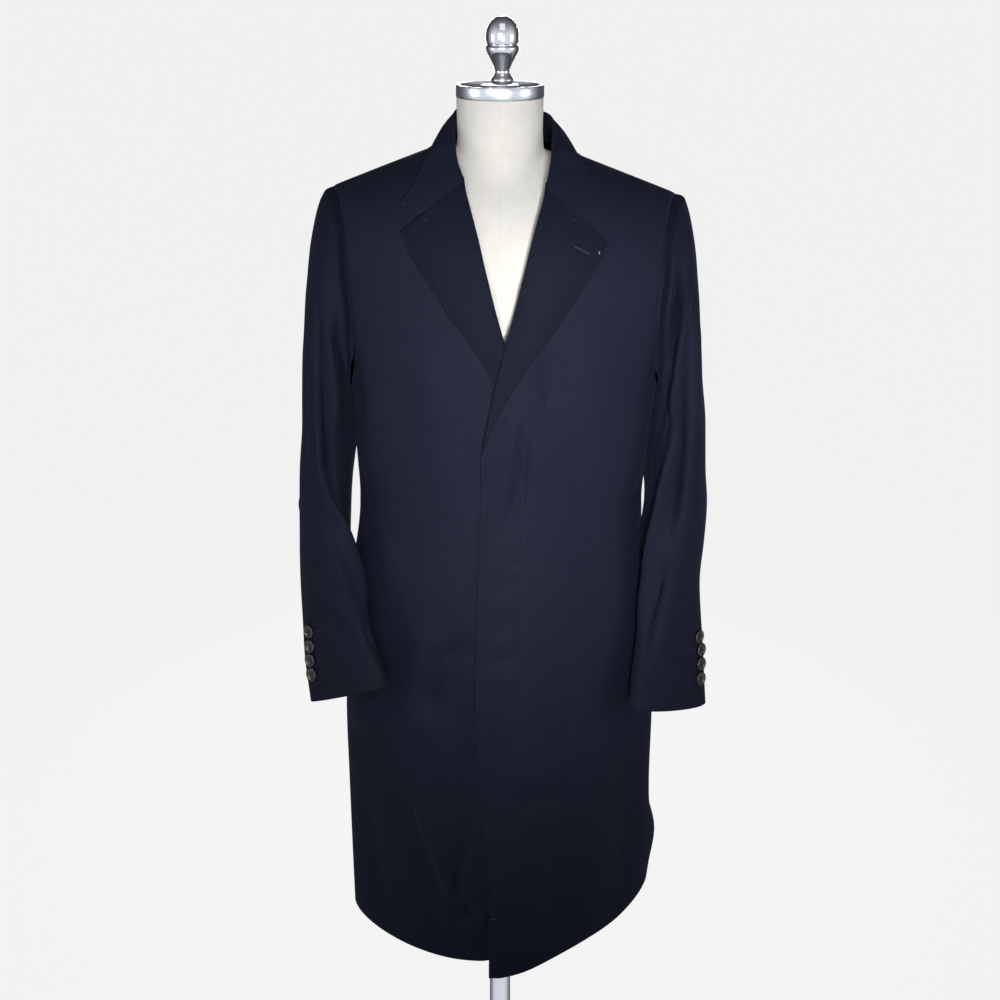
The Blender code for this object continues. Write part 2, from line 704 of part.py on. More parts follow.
def neck_edge(share):
    """Foot of the stand: along the front's edge from the gorge, then along the back neck."""
    neck_end = neck_seam(NECK_POINT)
    if share <= SIDE_OF_NECK:
        height = GORGE + (NECK_POINT - GORGE) * share / SIDE_OF_NECK
        turn, level = find(np.array(neck_seam(height)), np.array(height))
        away = np.array([-1.0, 0.0, 1.0])
    else:
        part = (share - SIDE_OF_NECK) / (1 - SIDE_OF_NECK)
        across = neck_end * math.cos(part * QUARTER)
        level = np.array(back_neck_level(across))
        turn, _ = find(np.array(across), np.array(CHEST_TOP), back=True)
        away = np.array([0.0, 0.0, 1.0])
    return shape(turn, level) - shape_normal(turn, level) * WALL + away * FOOT_CLEAR


def fold_and_edge(share):
    """The collar's fold and the fall's edge at a share of its half, in coat coordinates."""
    fold = np.array([read(FOLD_COLUMNS, COLLAR_FOLD, name, share) for name in FOLD_COLUMNS[1:]])
    columns = EDGE_OF_FALL_COLUMNS
    across, over = (float(read(columns, EDGE_OF_FALL, name, share)) for name in columns[1:])
    return fold, over_shoulder(across, over, FALL_LIFT)


def fold_outwards(fold, share):
    """Level direction that points away from the neck at the fold."""
    return unit(np.array([fold[0], fold[1] * 0.9 + 0.004 * share, 0.0]))


def fall_points(fold, edge, share):
    """The fall from the fold to its edge, before it is laid on the shoulder."""
    start = fold + fold_outwards(fold, share) * FOLD_RADIUS
    straight = edge - start
    bulge = unit(np.cross(np.cross(straight, [0.0, 0.0, 1.0]), straight))
    part = np.array(FALL_PARTS)[:, None]
    return start + straight * part + bulge * FALL_BULGE * np.sin(np.pi * part)


def collar_section(share, side):
    """Points of the outer face from the stand's foot, over the fold, to the fall's edge."""
    fold, edge = fold_and_edge(share)
    if share < 1:
        fold[0] -= side * FOLD_LEAN
    foot = neck_edge(share)
    outwards = fold_outwards(fold, share)
    stand_top = fold - outwards * FOLD_RADIUS
    points = [foot, foot * 0.5 + stand_top * 0.5, stand_top]
    for degrees in FOLD_ARC:
        turn = math.radians(degrees)
        arc = outwards * math.cos(turn) + np.array([0.0, 0.0, math.sin(turn)])
        points.append(fold + arc * FOLD_RADIUS)
    for number, point in enumerate(fall_points(fold, edge, share)):
        if share < GORGE_REACH:
            gorge = gorge_section(number)
            point = point + np.array([0.0, 0.0, gorge * (1 - share / GORGE_REACH) ** 1.5])
        points.append(clear_of_coat(point, FALL_LIFT))
    return np.array(points)


def gorge_section(number):
    """How far the collar's front end must drop at one of its points to follow the gorge."""
    point = fall_points(*fold_and_edge(0.0), 0.0)[number]
    return float(gorge_line(point[0], COLLAR_TIP)) + GORGE_GAP - point[2]


def make_collar(cloth):
    shares = np.arange(COLLAR_STEPS + 1) / COLLAR_STEPS
    left = [place(1, collar_section(share, 1)) for share in shares]
    right = [place(-1, collar_section(share, -1)) for share in shares[:-1]]
    grid = np.array(left + right[::-1])
    sheet("collar", grid, grid_normals(grid), cloth)


# ---------------------------------------------------------------- sleeves


def sleeve_rings(side):
    return SLEEVE_CAP + (SLEEVE_LEFT if side > 0 else SLEEVE_RIGHT)


def sleeve_ring(side, step, angles):
    """Points of one ring; angles start at the back and go round by the outside."""
    rows = sleeve_rings(side)
    value = {name: float(read(SLEEVE_COLUMNS, rows, name, step)) for name in SLEEVE_COLUMNS[1:]}
    tilt, pitch, twist = (math.radians(value[name]) for name in ("tilt", "pitch", "twist"))
    outer = np.array([side * math.cos(tilt), 0.0, math.sin(tilt)])
    rear = np.array([0.0, math.cos(pitch), -math.sin(pitch)])
    wide = rear * math.cos(twist) + outer * math.sin(twist)
    thick = outer * math.cos(twist) - np.array([0.0, math.sin(twist), 0.0])
    middle = np.array([SLEEVE_SHIFT + side * value["across"], value["deep"], value["height"]])
    turn = np.asarray(angles)[:, None]
    return middle + wide * value["wide"] * np.cos(turn) + thick * value["thick"] * np.sin(turn)


def sleeve_angles():
    return np.radians(SLEEVE_STEP * np.arange(2 * ARMHOLE_STEPS))


def armhole_ring(side, surface):
    """The armhole's edge, or its normals, at the sleeve's angles."""
    share, level = armhole_levels()
    front = surface(side, armhole_turn(share, "front"), level)
    back = surface(side, np.pi - armhole_turn(share, "back"), level)
    # 0 degrees is the back at half height, 90 the shoulder tip, 270 the underarm.
    order = [back[k] for k in range(ARMHOLE_STEPS // 2, ARMHOLE_STEPS + 1)]
    order += [front[k] for k in range(ARMHOLE_STEPS - 1, -1, -1)]
    order += [back[k] for k in range(1, ARMHOLE_STEPS // 2)]
    return np.array(order)


def sleeve_grid(side):
    angles = sleeve_angles()
    first = armhole_ring(side, body) + np.array([side * 2 * GAP, 0.0, 0.0])
    ellipse = sleeve_ring(side, 0, angles)
    rings = [first]
    for step in range(1, len(sleeve_rings(side))):
        keep = max(0.0, 1 - step / ARMHOLE_KEPT) ** 2
        rings.append(sleeve_ring(side, step, angles) + (first - ellipse) * keep)
    return np.array(rings)


def make_sleeves(cloth):
    for side, name in ((1, "left"), (-1, "right")):
        grid = sleeve_grid(side)
        around = grid.shape[1]
        wrapped = np.concatenate([grid[:, -1:], grid, grid[:, :1]], axis=1)
        normals = grid_normals(wrapped)[:, 1:-1] * side
        seam = armhole_ring(side, outward)
        agree = np.clip(np.sum(seam * normals[0], axis=1, keepdims=True) * 2, 0, 1)
        normals[0] = unit(seam * agree + normals[0] * (1 - agree))
        first, second = SLEEVE_SPLIT["back"], SLEEVE_SPLIT["front"]
        top = [k % around for k in range(first, second + 1)]
        under = [k % around for k in range(second, first + around + 1)]
        for part, columns in (("top", top), ("under", under)):
            piece = inset(grid[:, columns], first_column=GAP, last_column=GAP)
            sheet(f"sleeve_{part}_{name}", piece, normals[:, columns], cloth)


# ---------------------------------------------------------------- trim


def on_front(side, turn, level):
    """Points and normals on a front's own faces, below the armhole."""
    grid, normals = front_grid(side)
    height, _ = panel_levels()
    start = np.interp(level, height, front_edge(side, height))
    row = (level - HEM) / (UNDERARM - HEM) * LOWER_ROWS
    column = (turn - start) / (QUARTER - start) * FRONT_COLUMNS
    i, j = row.astype(int), column.astype(int)
    up, along = (row - i)[..., None], (column - j)[..., None]

    def between(points):
        low = points[i, j] * (1 - along) + points[i, j + 1] * along
        high = points[i + 1, j] * (1 - along) + points[i + 1, j + 1] * along
        return low * (1 - up) + high * up

    return between(grid), unit(between(normals))


def make_welts(cloth):
    length, width = 8, 2
    for side, name in ((1, "left"), (-1, "right")):
        part = np.arange(length + 1)[None, :] / length
        rise = np.arange(width + 1)[:, None] / width * WELT_HEIGHT
        start, end = WELT_FROM[name], WELT_TO[name]
        turn = start[0] + (end[0] - start[0]) * part + 0 * rise
        level = start[1] + (end[1] - start[1]) * part + rise
        grid, normals = on_front(side, turn, level)
        sheet(f"pocket_welt_{name}", grid + normals * WELT_OUT, normals, cloth, WELT_OUT - WELT_SEAT)


def circle(work, radius, height, steps, middle=(0.0, 0.0)):
    turns = [2 * math.pi * k / steps for k in range(steps)]
    x, y = middle
    return [
        work.verts.new((x + radius * math.cos(t), y + radius * math.sin(t), height))
        for t in turns
    ]


def close_rings(work, rings):
    """Walls between rings of equal length, and the first and last of them filled."""
    work.faces.new(rings[0][::-1])
    work.faces.new(rings[-1])
    steps = len(rings[0])
    for low, high in zip(rings, rings[1:]):
        for k in range(steps):
            n = (k + 1) % steps
            work.faces.new((low[k], low[n], high[n], high[k]))


def button_mesh(finish):
    """Dished four-hole button, its back face at height 0."""
    work = bmesh.new()
    profile = [(BUTTON_RADIUS * r, BUTTON_THICKNESS * h) for r, h in BUTTON_PROFILE]
    rings = [circle(work, radius, height, BUTTON_STEPS) for radius, height in profile]
    close_rings(work, rings)
    mesh = bpy.data.meshes.new("cuff_button")
    work.to_mesh(mesh)
    work.free()
    mesh.shade_smooth()
    mesh.set_sharp_from_angle(angle=math.radians(40))
    mesh.materials.append(finish)
    return mesh


def make_hole_cutter():
    """Four pins that cut a button's holes."""
    work = bmesh.new()
    half = HOLE_SPACING / 2
    for middle in ((half, half), (-half, half), (-half, -half), (half, -half)):
        close_rings(work, [circle(work, HOLE_RADIUS, z, HOLE_STEPS, middle) for z in HOLE_REACH])
    mesh = bpy.data.meshes.new("button_hole_cutter")
    work.to_mesh(mesh)
    work.free()
    cutter = bpy.data.objects.new("button_hole_cutter", mesh)
    bpy.context.scene.collection.objects.link(cutter)
    cutter.hide_render = True
    cutter.display_type = "WIRE"
    return cutter


def on_sleeve(side, up, degrees):
    """Point on a sleeve's own faces this far above its edge, with its outward and down directions."""
    last = len(sleeve_rings(side)) - 1
    column = int(degrees // SLEEVE_STEP)
    along = degrees / SLEEVE_STEP - column
    angles = np.radians([column * SLEEVE_STEP, (column + 1) * SLEEVE_STEP])
    low, high = sleeve_ring(side, last, angles), sleeve_ring(side, last - 1, angles)
    rise = up / np.linalg.norm(high[0] - low[0])
    if rise > 1:
        rise -= 1
        low, high = high, sleeve_ring(side, last - 2, angles)
    row = low * (1 - rise) + high * rise
    point = row[0] * (1 - along) + row[1] * along
    down = unit(low - high)
    down = unit(down[0] * (1 - along) + down[1] * along)
    out = unit(np.cross(row[1] - row[0], down)) * side
    return point, out, down


def button_seat(side, up, degrees):
    """Middle of a button's back face, resting on the highest cloth under it, and its axes."""
    point, out, down = on_sleeve(side, up, degrees)
    lift = 0.0
    shares = np.linspace(-1, 1, 5)
    for rise in shares * BUTTON_RADIUS:
        for swing in shares * BUTTON_SWING:
            under, _, _ = on_sleeve(side, up + rise, degrees + swing)
            lift = max(lift, float(np.dot(under - point, out)))
    flat = unit(np.cross(down, out))
    return point + out * (lift + BUTTON_SHANK), Matrix([flat, np.cross(out, flat), out])


def make_buttons(horn):
    mesh = button_mesh(horn)
    cutter = make_hole_cutter()
    plain = bpy.data.objects.new("button_blank", mesh)
    bpy.context.scene.collection.objects.link(plain)
    cut = plain.modifiers.new("holes", "BOOLEAN")
    cut.operation = "DIFFERENCE"
    cut.object = cutter
    cut.solver = "EXACT"
    graph = bpy.context.evaluated_depsgraph_get()
    drilled = bpy.data.meshes.new_from_object(plain.evaluated_get(graph))
    bpy.data.objects.remove(plain, do_unlink=True)
    bpy.data.objects.remove(cutter, do_unlink=True)
    for side, name in ((1, "left"), (-1, "right")):
        for k in range(BUTTONS):
            up = BUTTON_FIRST[name] + BUTTON_PITCH * k
            seat, axes = button_seat(side, up, BUTTON_TURN[name])
            made = bpy.data.objects.new(f"cuff_button_{name}_{k + 1}", drilled)
            made.location = seat
            made.rotation_euler = axes.transposed().to_euler()
            bpy.context.scene.collection.objects.link(made)


# ---------------------------------------------------------------- dress form and stand


def torso_ring(level, turn):
    """Ring of the torso at a level of the coat; above CHEST_TOP it arches over the shoulder."""
    height = min(level, CHEST_TOP)
    over = max(0.0, level - CHEST_TOP) / ARCH * QUARTER
    size = [float(read(FORM_COLUMNS, FORM_SECTIONS, name, height)) for name in FORM_COLUMNS[1:]]
    half_width, front, back, kind = size
    across = half_width * signed_power(np.sin(turn), 2 / kind)
    depth = np.where(np.cos(turn) > 0, front, back)
    deep = -depth * signed_power(np.cos(turn), 2 / kind) * math.cos(over)
    beside_neck = FORM_NECK_FALL * np.exp(-((across / FORM_NECK_REACH) ** 2))
    rise = shoulder_line(across) - FORM_BELOW_SHOULDER - beside_neck - CHEST_TOP
    return place(1, np.stack([across, deep, height + rise * math.sin(over)], axis=-1))


def neck_ring(height, turn):
    radius = float(read(NECK_COLUMNS, NECK_SECTIONS, "radius", height))
    deep = float(read(NECK_COLUMNS, NECK_SECTIONS, "deep", height))
    level = np.full(turn.shape, height)
    return np.stack([radius * np.sin(turn), deep - radius * np.cos(turn), level], axis=-1)


def lofted(name, rings, finish, open_top=False):
    """Solid through rings of equal length; with open_top the last ring closes on itself."""
    steps = len(rings[0])
    points = np.concatenate(rings)
    faces = [list(range(steps))[::-1]]
    if not open_top:
        faces.append(list(range(len(points) - steps, len(points))))
    for ring in range(len(rings) - 1):
        for k in range(steps):
            n = (k + 1) % steps
            low, high = ring * steps, (ring + 1) * steps
            faces.append([low + k, low + n, high + n, high + k])
    return add_object(name, points, faces, finish, sharp=60)


def make_torso(canvas):
    """Torso and neck of the form, joined."""
    turn = 2 * np.pi * np.arange(FORM_STEPS) / FORM_STEPS
    _, level = armhole_levels()
    above = [each for each in level if each > CHEST_TOP + GAP]
    levels = list(np.linspace(FORM_BOTTOM, CHEST_TOP, FORM_ROWS)) + above
    torso = lofted("form_torso", [torso_ring(each, turn) for each in levels], canvas, open_top=True)
    heights = np.linspace(NECK_SECTIONS[0][0], NECK_SECTIONS[-1][0], NECK_ROWS)
    neck = lofted("neck_helper", [neck_ring(each, turn) for each in heights], canvas)
    neck.hide_render = True
    neck.display_type = "WIRE"
    join = torso.modifiers.new("neck", "BOOLEAN")
    join.operation = "UNION"
    join.object = neck
    join.solver = "EXACT"


def make_cap_and_finial(aluminium, polished):
    top = NECK_SECTIONS[-1][0]
    turned(
        "form_neck_cap",
        (
            (CAP_RADIUS, GAP),
            (CAP_RADIUS, CAP_HEIGHT - CAP_EDGE),
            (CAP_RADIUS - CAP_EDGE, CAP_HEIGHT),
        ),
        aluminium,
        base=top,
        steps=FINE_STEPS,
    )
    profile = FINIAL_PROFILE + (FINIAL_TOP,)
    turned("form_finial", profile, polished, (FINIAL_ACROSS, 0.0), top + CAP_HEIGHT)


def make_stand(steel, iron):
    turned(
        "stand_base",
        (
            (BASE_RADIUS, 0.0),
            (BASE_RADIUS, BASE_HEIGHT - BASE_EDGE),
            (BASE_RADIUS - BASE_EDGE, BASE_HEIGHT),
            (HUB_RADIUS * HUB_SPREAD, BASE_HEIGHT),
            (HUB_RADIUS, BASE_HEIGHT + HUB_FOOT),
            (HUB_RADIUS * HUB_TAPER, HUB_HEIGHT),
        ),
        iron,
        steps=FINE_STEPS,
    )
    pole = ((POLE_RADIUS, HUB_HEIGHT + GAP), (POLE_RADIUS, FORM_BOTTOM - GAP))
    turned("stand_pole", pole, steel)


def main():
    for each in list(bpy.context.scene.objects):
        bpy.data.objects.remove(each, do_unlink=True)
    navy = material("navy_overcoating", (0.011, 0.014, 0.030), 0.75)
    horn = material("dark_horn", (0.030, 0.022, 0.016), 0.35)
    canvas = material("cream_canvas", (0.78, 0.75, 0.68), 0.85)
    aluminium = material("turned_aluminium", (0.78, 0.78, 0.80), 0.28, 1.0)
    polished = material("polished_metal", (0.62, 0.62, 0.64), 0.12, 1.0)
    steel = material("satin_steel", (0.60, 0.60, 0.62), 0.30, 1.0)
    iron = material("painted_iron", (0.35, 0.35, 0.36), 0.50)
    make_fronts(navy)
    make_backs(navy)
    make_lapels(navy)
    make_collar(navy)
    make_sleeves(navy)
    make_welts(navy)
    make_buttons(horn)
    make_torso(canvas)
    make_cap_and_finial(aluminium, polished)
    make_stand(steel, iron)


main()
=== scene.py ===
# Looks of a wool overcoat that stands on a limbless dress form.
# Metres, +Z up. The coat faces -Y and its wearer's left is at +X.
import math

import bmesh
import bpy
import numpy as np
from mathutils import Matrix, Vector


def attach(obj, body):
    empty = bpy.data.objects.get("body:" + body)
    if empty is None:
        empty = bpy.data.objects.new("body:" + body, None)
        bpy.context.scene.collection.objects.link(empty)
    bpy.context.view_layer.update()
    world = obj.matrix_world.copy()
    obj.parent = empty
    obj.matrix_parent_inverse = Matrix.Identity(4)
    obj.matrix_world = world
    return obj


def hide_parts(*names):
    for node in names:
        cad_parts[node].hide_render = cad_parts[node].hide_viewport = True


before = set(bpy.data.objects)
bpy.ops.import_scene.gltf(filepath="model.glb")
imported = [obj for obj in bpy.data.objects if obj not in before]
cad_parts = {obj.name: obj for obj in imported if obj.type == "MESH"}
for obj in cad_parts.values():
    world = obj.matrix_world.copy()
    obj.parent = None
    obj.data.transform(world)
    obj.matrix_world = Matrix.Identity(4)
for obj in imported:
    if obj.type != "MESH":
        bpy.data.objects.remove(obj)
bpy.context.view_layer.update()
quarter = math.pi / 2
print("frame loaded:", len(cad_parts), "nodes")


def read(table, name, at):
    # one column of a table on a smooth curve through its rows
    rows = np.array(table["rows"], float)
    key = rows[:, 0]
    value = rows[:, table["columns"].index(name)]
    slope = np.gradient(value, key)
    at = np.asarray(at, float)
    row = np.clip(np.searchsorted(key, at) - 1, 0, len(key) - 2)
    step = key[row + 1] - key[row]
    t = np.clip((at - key[row]) / step, 0, 1)
    curve = (1 + 2 * t) * (1 - t) ** 2 * value[row]
    curve += t * (1 - t) ** 2 * step * slope[row]
    curve += t * t * (3 - 2 * t) * value[row + 1]
    curve += t * t * (t - 1) * step * slope[row + 1]
    return curve


def ease(value):
    t = np.clip(value, 0, 1)
    return t * t * (3 - 2 * t)


def unit(vectors):
    return vectors / np.maximum(np.linalg.norm(vectors, axis=-1, keepdims=True), 1e-12)


def signedPower(value, exponent):
    return np.sign(value) * np.abs(value) ** exponent


def hump(value, middle, width):
    return np.exp(-(((value - middle) / width) ** 2))


def gridNormals(grid):
    return unit(np.cross(np.gradient(grid, axis=1), np.gradient(grid, axis=0)))


def lengthsAlong(grid, axis):
    step = np.linalg.norm(np.diff(grid, axis=axis), axis=-1)
    start = np.zeros_like(step.take([0], axis=axis))
    return np.concatenate([start, np.cumsum(step, axis=axis)], axis=axis)


def foldRelief(places, folds):
    # soft troughs (depth above 0) and ridges (below 0), each along its own line of points
    total = np.zeros(places.shape[:-1])
    for width, depth, line in folds:
        points = np.array(line, float)
        lengths = np.linalg.norm(np.diff(points, axis=0), axis=1)
        nearest = np.full(total.shape, 1e9)
        share = np.zeros(total.shape)
        done = 0.0
        for start, end, length in zip(points[:-1], points[1:], lengths):
            along = (end - start) / length
            t = np.clip((places - start) @ along, 0, length)
            away = np.linalg.norm(places - start - t[..., None] * along, axis=-1)
            closer = away < nearest
            nearest = np.where(closer, away, nearest)
            share = np.where(closer, (done + t) / lengths.sum(), share)
            done += length
        fade = ease(share / 0.3) * ease((1 - share) / 0.3)
        total -= depth * fade * np.exp(-((nearest / width) ** (1.5 if depth > 0 else 2.0)))
    return total


def smoothLine(points, times=3):
    # corners cut in turn until the line is smooth
    points = np.array(points, float)
    for _ in range(times):
        low = points[:-1] * 0.75 + points[1:] * 0.25
        high = points[:-1] * 0.25 + points[1:] * 0.75
        inner = np.stack([low, high], axis=1).reshape(-1, points.shape[1])
        points = np.concatenate([points[:1], inner, points[-1:]])
    return points


def addNode(tree, kind, values=None, **options):
    node = tree.nodes.new("ShaderNode" + kind)
    for name, value in options.items():
        setattr(node, name, value)
    for name, value in (values or {}).items():
        node.inputs[name].default_value = value
    return node


def startMaterial(name, values):
    material = bpy.data.materials.new(name)
    material.use_nodes = True
    tree = material.node_tree
    shader = tree.nodes["Principled BSDF"]
    for socket, value in values.items():
        shader.inputs[socket].default_value = value
    return material, tree, shader


def textureOn(tree, kind, source, values, **options):
    # what a texture or a mapping makes of these coordinates
    node = addNode(tree, kind, values, **options)
    tree.links.new(source, node.inputs["Vector"])
    return node.outputs["Vector" if kind == "Mapping" else "Fac"]


def mathNode(tree, operation, first, second):
    node = addNode(tree, "Math", operation=operation)
    for socket, value in zip(node.inputs, (first, second)):
        if isinstance(value, (int, float)):
            socket.default_value = value
        else:
            tree.links.new(value, socket)
    return node.outputs["Value"]


def addUp(tree, *parts):
    # a sum of factors, each times its own weight
    total = None
    for factor, weight in parts:
        share = mathNode(tree, "MULTIPLY", factor, weight)
        total = share if total is None else mathNode(tree, "ADD", total, share)
    return total


def mapRange(tree, factor, low, high, start=0.0, end=1.0):
    values = {"From Min": start, "From Max": end, "To Min": low, "To Max": high}
    node = addNode(tree, "MapRange", values)
    tree.links.new(factor, node.inputs["Value"])
    return node.outputs["Result"]


def joinColours(tree, factor, low, high, target):
    # colour between two plain ones by a factor from another node
    ramp = addNode(tree, "ValToRGB")
    ramp.color_ramp.elements[0].color = (*low, 1)
    ramp.color_ramp.elements[1].color = (*high, 1)
    tree.links.new(factor, ramp.inputs["Fac"])
    tree.links.new(ramp.outputs["Color"], target)
    return ramp.color_ramp


def addGloss(tree, shader, factor, low, high):
    tree.links.new(mapRange(tree, factor, low, high), shader.inputs["Roughness"])


def addBump(tree, shader, height, distance, strength, before=None):
    bump = addNode(tree, "Bump", {"Distance": distance, "Strength": strength})
    tree.links.new(height, bump.inputs["Height"])
    if before is not None:
        tree.links.new(before.outputs["Normal"], bump.inputs["Normal"])
    tree.links.new(bump.outputs["Normal"], shader.inputs["Normal"])
    return bump


# camera, floor and light
cameraSettings = {"place": (0.0, -2.44, 1.808), "down": 17.6, "lens": 67.14, "sensor": 36.0}
floorSettings = {"radius": 70.0, "steps": 96, "colour": (0.86, 0.86, 0.86), "glow": 1.018}
worldSettings = {
    "seen": (0.875, 0.875, 0.875),
    "front": (1.15, 1.20, 1.30),
    "behind": (0.10, 0.10, 0.11),
    "turn": (0.45, -0.35),  # share of the way to the back where the room starts to lighten and is light
    "ceiling": (0.20, 0.80),
    "ceilingShare": 0.22,
}
lightSettings = {
    "columns": ("name", "place", "aim", "wide", "high", "watts", "spread"),
    "rows": (
        ("keyLight", (0.20, -2.4, 1.28), (0.11, 0.0, 1.22), 0.40, 0.35, 3.9, 36.0),
        ("frontLight", (-0.60, -2.3, 1.75), (0.0, 0.0, 1.10), 1.0, 0.8, 6.8, 120.0),
        ("leftLight", (-2.3, -0.85, 1.3), (0.0, 0.0, 1.1), 0.7, 1.1, 6.8, 120.0),
        ("rightLight", (2.3, -0.85, 1.3), (0.0, 0.0, 1.1), 0.7, 1.1, 6.4, 120.0),
        ("topLight", (0.0, -1.2, 3.0), (0.0, 0.0, 1.1), 1.2, 1.2, 2.8, 140.0),
        ("backLight", (0.0, 3.0, 1.20), (0.0, 0.0, 1.05), 0.6, 1.3, 40.0, 120.0),
    ),
}


def makeCamera(settings):
    data = bpy.data.cameras.new("studioCamera")
    data.lens = settings["lens"]
    data.sensor_width = settings["sensor"]
    data.clip_end = 200.0
    camera = bpy.data.objects.new("studioCamera", data)
    camera.location = settings["place"]
    camera.rotation_euler = (math.radians(90 - settings["down"]), 0.0, 0.0)
    bpy.context.scene.collection.objects.link(camera)
    bpy.context.scene.camera = camera


def makeLights(settings):
    for name, place, aim, wide, high, watts, spread in settings["rows"]:
        data = bpy.data.lights.new(name, "AREA")
        data.shape = "RECTANGLE"
        data.size = wide
        data.size_y = high
        data.energy = watts
        data.spread = math.radians(spread)
        light = bpy.data.objects.new(name, data)
        light.location = place
        towards = Vector(aim) - Vector(place)
        light.rotation_euler = towards.to_track_quat("-Z", "Y").to_euler()
        bpy.context.scene.collection.objects.link(light)


def makeWorld(settings):
    # a plain pale backdrop; gloss sees a room that is light in front and dim behind and overhead
    world = bpy.data.worlds.new("studioWorld")
    world.use_nodes = True
    world.cycles_visibility.diffuse = False
    tree = world.node_tree
    room = tree.nodes["Background"]
    plain = addNode(tree, "Background", {"Color": (*settings["seen"], 1)})
    space = addNode(tree, "TexCoord")
    split = addNode(tree, "SeparateXYZ")
    tree.links.new(space.outputs["Generated"], split.inputs["Vector"])
    light = mapRange(tree, split.outputs["Y"], 0.0, 1.0, *settings["turn"])
    ceiling = mapRange(tree, split.outputs["Z"], 1.0, settings["ceilingShare"], *settings["ceiling"])
    share = mathNode(tree, "MULTIPLY", light, ceiling)
    joinColours(tree, share, settings["behind"], settings["front"], room.inputs["Color"])
    path = addNode(tree, "LightPath")
    both = addNode(tree, "MixShader")
    tree.links.new(path.outputs["Is Camera Ray"], both.inputs["Fac"])
    tree.links.new(room.outputs["Background"], both.inputs[1])
    tree.links.new(plain.outputs["Background"], both.inputs[2])
    tree.links.new(both.outputs["Shader"], tree.nodes["World Output"].inputs["Surface"])
    bpy.context.scene.world = world


def makeFloor(settings):
    material, tree, shader = startMaterial("paleFloor", {
        "Roughness": 0.9,
        "Specular IOR Level": 0.0,
        "Emission Color": (*settings["colour"], 1),
        "Emission Strength": settings["glow"],
    })
    grain = mapRange(tree, addNode(tree, "TexNoise", {"Scale": 3.0}).outputs["Fac"], 0.04, 0.05)
    join = addNode(tree, "CombineColor")
    for socket in ("Red", "Green", "Blue"):
        tree.links.new(grain, join.inputs[socket])
    tree.links.new(join.outputs["Color"], shader.inputs["Base Color"])
    work = bmesh.new()
    bmesh.ops.create_circle(work, cap_ends=True, segments=settings["steps"], radius=settings["radius"])
    mesh = bpy.data.meshes.new("studioFloor")
    work.to_mesh(mesh)
    work.free()
    mesh.materials.append(material)
    floor = bpy.data.objects.new("studioFloor", mesh)
    bpy.context.scene.collection.objects.link(floor)
    floor.visible_diffuse = False  # it doesn't light the coat from below
    floor.visible_glossy = False


bpy.context.scene.view_settings.view_transform = "Standard"
makeCamera(cameraSettings)
makeLights(lightSettings)
makeWorld(worldSettings)
makeFloor(floorSettings)
print("camera, floor and lights made")


woolSettings = {
    "dark": (0.0055, 0.0067, 0.0142),
    "light": (0.0143, 0.0170, 0.0312),
    "twillPitch": 0.0026,
    "wales": {"Distortion": 3.5, "Detail": 3.0, "Detail Scale": 3.0},
    "yarnPitch": 0.0016,
    "slubStretch": 0.35,
    "fuzzScale": 430.0,
    "patchScale": 14.0,
    "yarns": (2.0, 0.6),  # detail and roughness of each noise
    "fuzz": (4.0, 0.75),
    "patches": (3.0, 0.55),
    "weaveTone": 0.34,  # how much the weave, the fuzz and the dye each change the tone
    "fuzzTone": 1.7,
    "dyeTone": 0.22,
    "middleTone": 0.195,
    "contrastTone": 0.17,
    "roughness": 0.60,
    "rougher": 0.10,
    "smoother": 0.08,
    "sheen": 0.02,
    "sheenRoughness": 0.45,
    "sheenTint": (0.55, 0.62, 0.95),
    "specular": 0.028,
    "walesDeep": 0.00022,
    "walesBump": 0.55,
    "fuzzDeep": 0.00022,
    "fuzzBump": 0.5,
}


def makeWool(name, lean, contrast=0.45, paintedShade=1.0, settings=woolSettings):
    # navy twill: wales that lean so many degrees from the warp, yarns across them, fuzz and uneven dye; a
    # shade factor below 1 makes a darker copy of it as painted shade
    material, tree, shader = startMaterial(name, {
        "Sheen Weight": settings["sheen"],
        "Sheen Roughness": settings["sheenRoughness"],
        "Sheen Tint": (*settings["sheenTint"], 1),
        "Specular IOR Level": settings["specular"],
    })
    turn = (0, 0, math.radians(lean))
    waveUnit = math.pi / 10  # a wave of scale 1 repeats at this length
    cloth = addNode(tree, "UVMap", uv_map="cloth").outputs["UV"]
    space = addNode(tree, "TexCoord").outputs["Object"]
    turned = textureOn(tree, "Mapping", cloth, {"Rotation": turn})
    drawn = {"Rotation": turn, "Scale": (1.0, settings["slubStretch"], 1.0)}
    slubs = textureOn(tree, "Mapping", cloth, drawn)
    values = {"Scale": waveUnit / settings["twillPitch"], **settings["wales"]}
    wales = textureOn(tree, "TexWave", turned, values)
    noises = []
    for name, source, scale in (
        ("yarns", slubs, 1 / settings["yarnPitch"]),
        ("fuzz", space, settings["fuzzScale"]),
        ("patches", space, settings["patchScale"]),
    ):
        detail, roughness = settings[name]
        values = {"Scale": scale, "Detail": detail, "Roughness": roughness}
        noises.append(textureOn(tree, "TexNoise", source, values))
    yarns, fuzz, patches = noises
    weave = addUp(tree, (wales, 0.5), (yarns, 0.5))
    weaveTone, fuzzTone = settings["weaveTone"] * contrast, settings["fuzzTone"]
    tone = addUp(tree, (weave, weaveTone), (fuzz, fuzzTone), (patches, settings["dyeTone"]))
    middle = fuzzTone / 2 - settings["middleTone"] + settings["contrastTone"] * contrast
    tone = mathNode(tree, "SUBTRACT", tone, middle)
    # painted shade: both ends of the colour range are scaled down by the shade factor
    low, high = (tuple(paintedShade * part for part in settings[end]) for end in ("dark", "light"))
    joinColours(tree, tone, low, high, shader.inputs["Base Color"])
    roughness = settings["roughness"]
    addGloss(tree, shader, weave, roughness + settings["rougher"], roughness - settings["smoother"])
    first = addBump(tree, shader, weave, settings["walesDeep"], settings["walesBump"] * contrast)
    addBump(tree, shader, fuzz, settings["fuzzDeep"], settings["fuzzBump"], first)
    return material


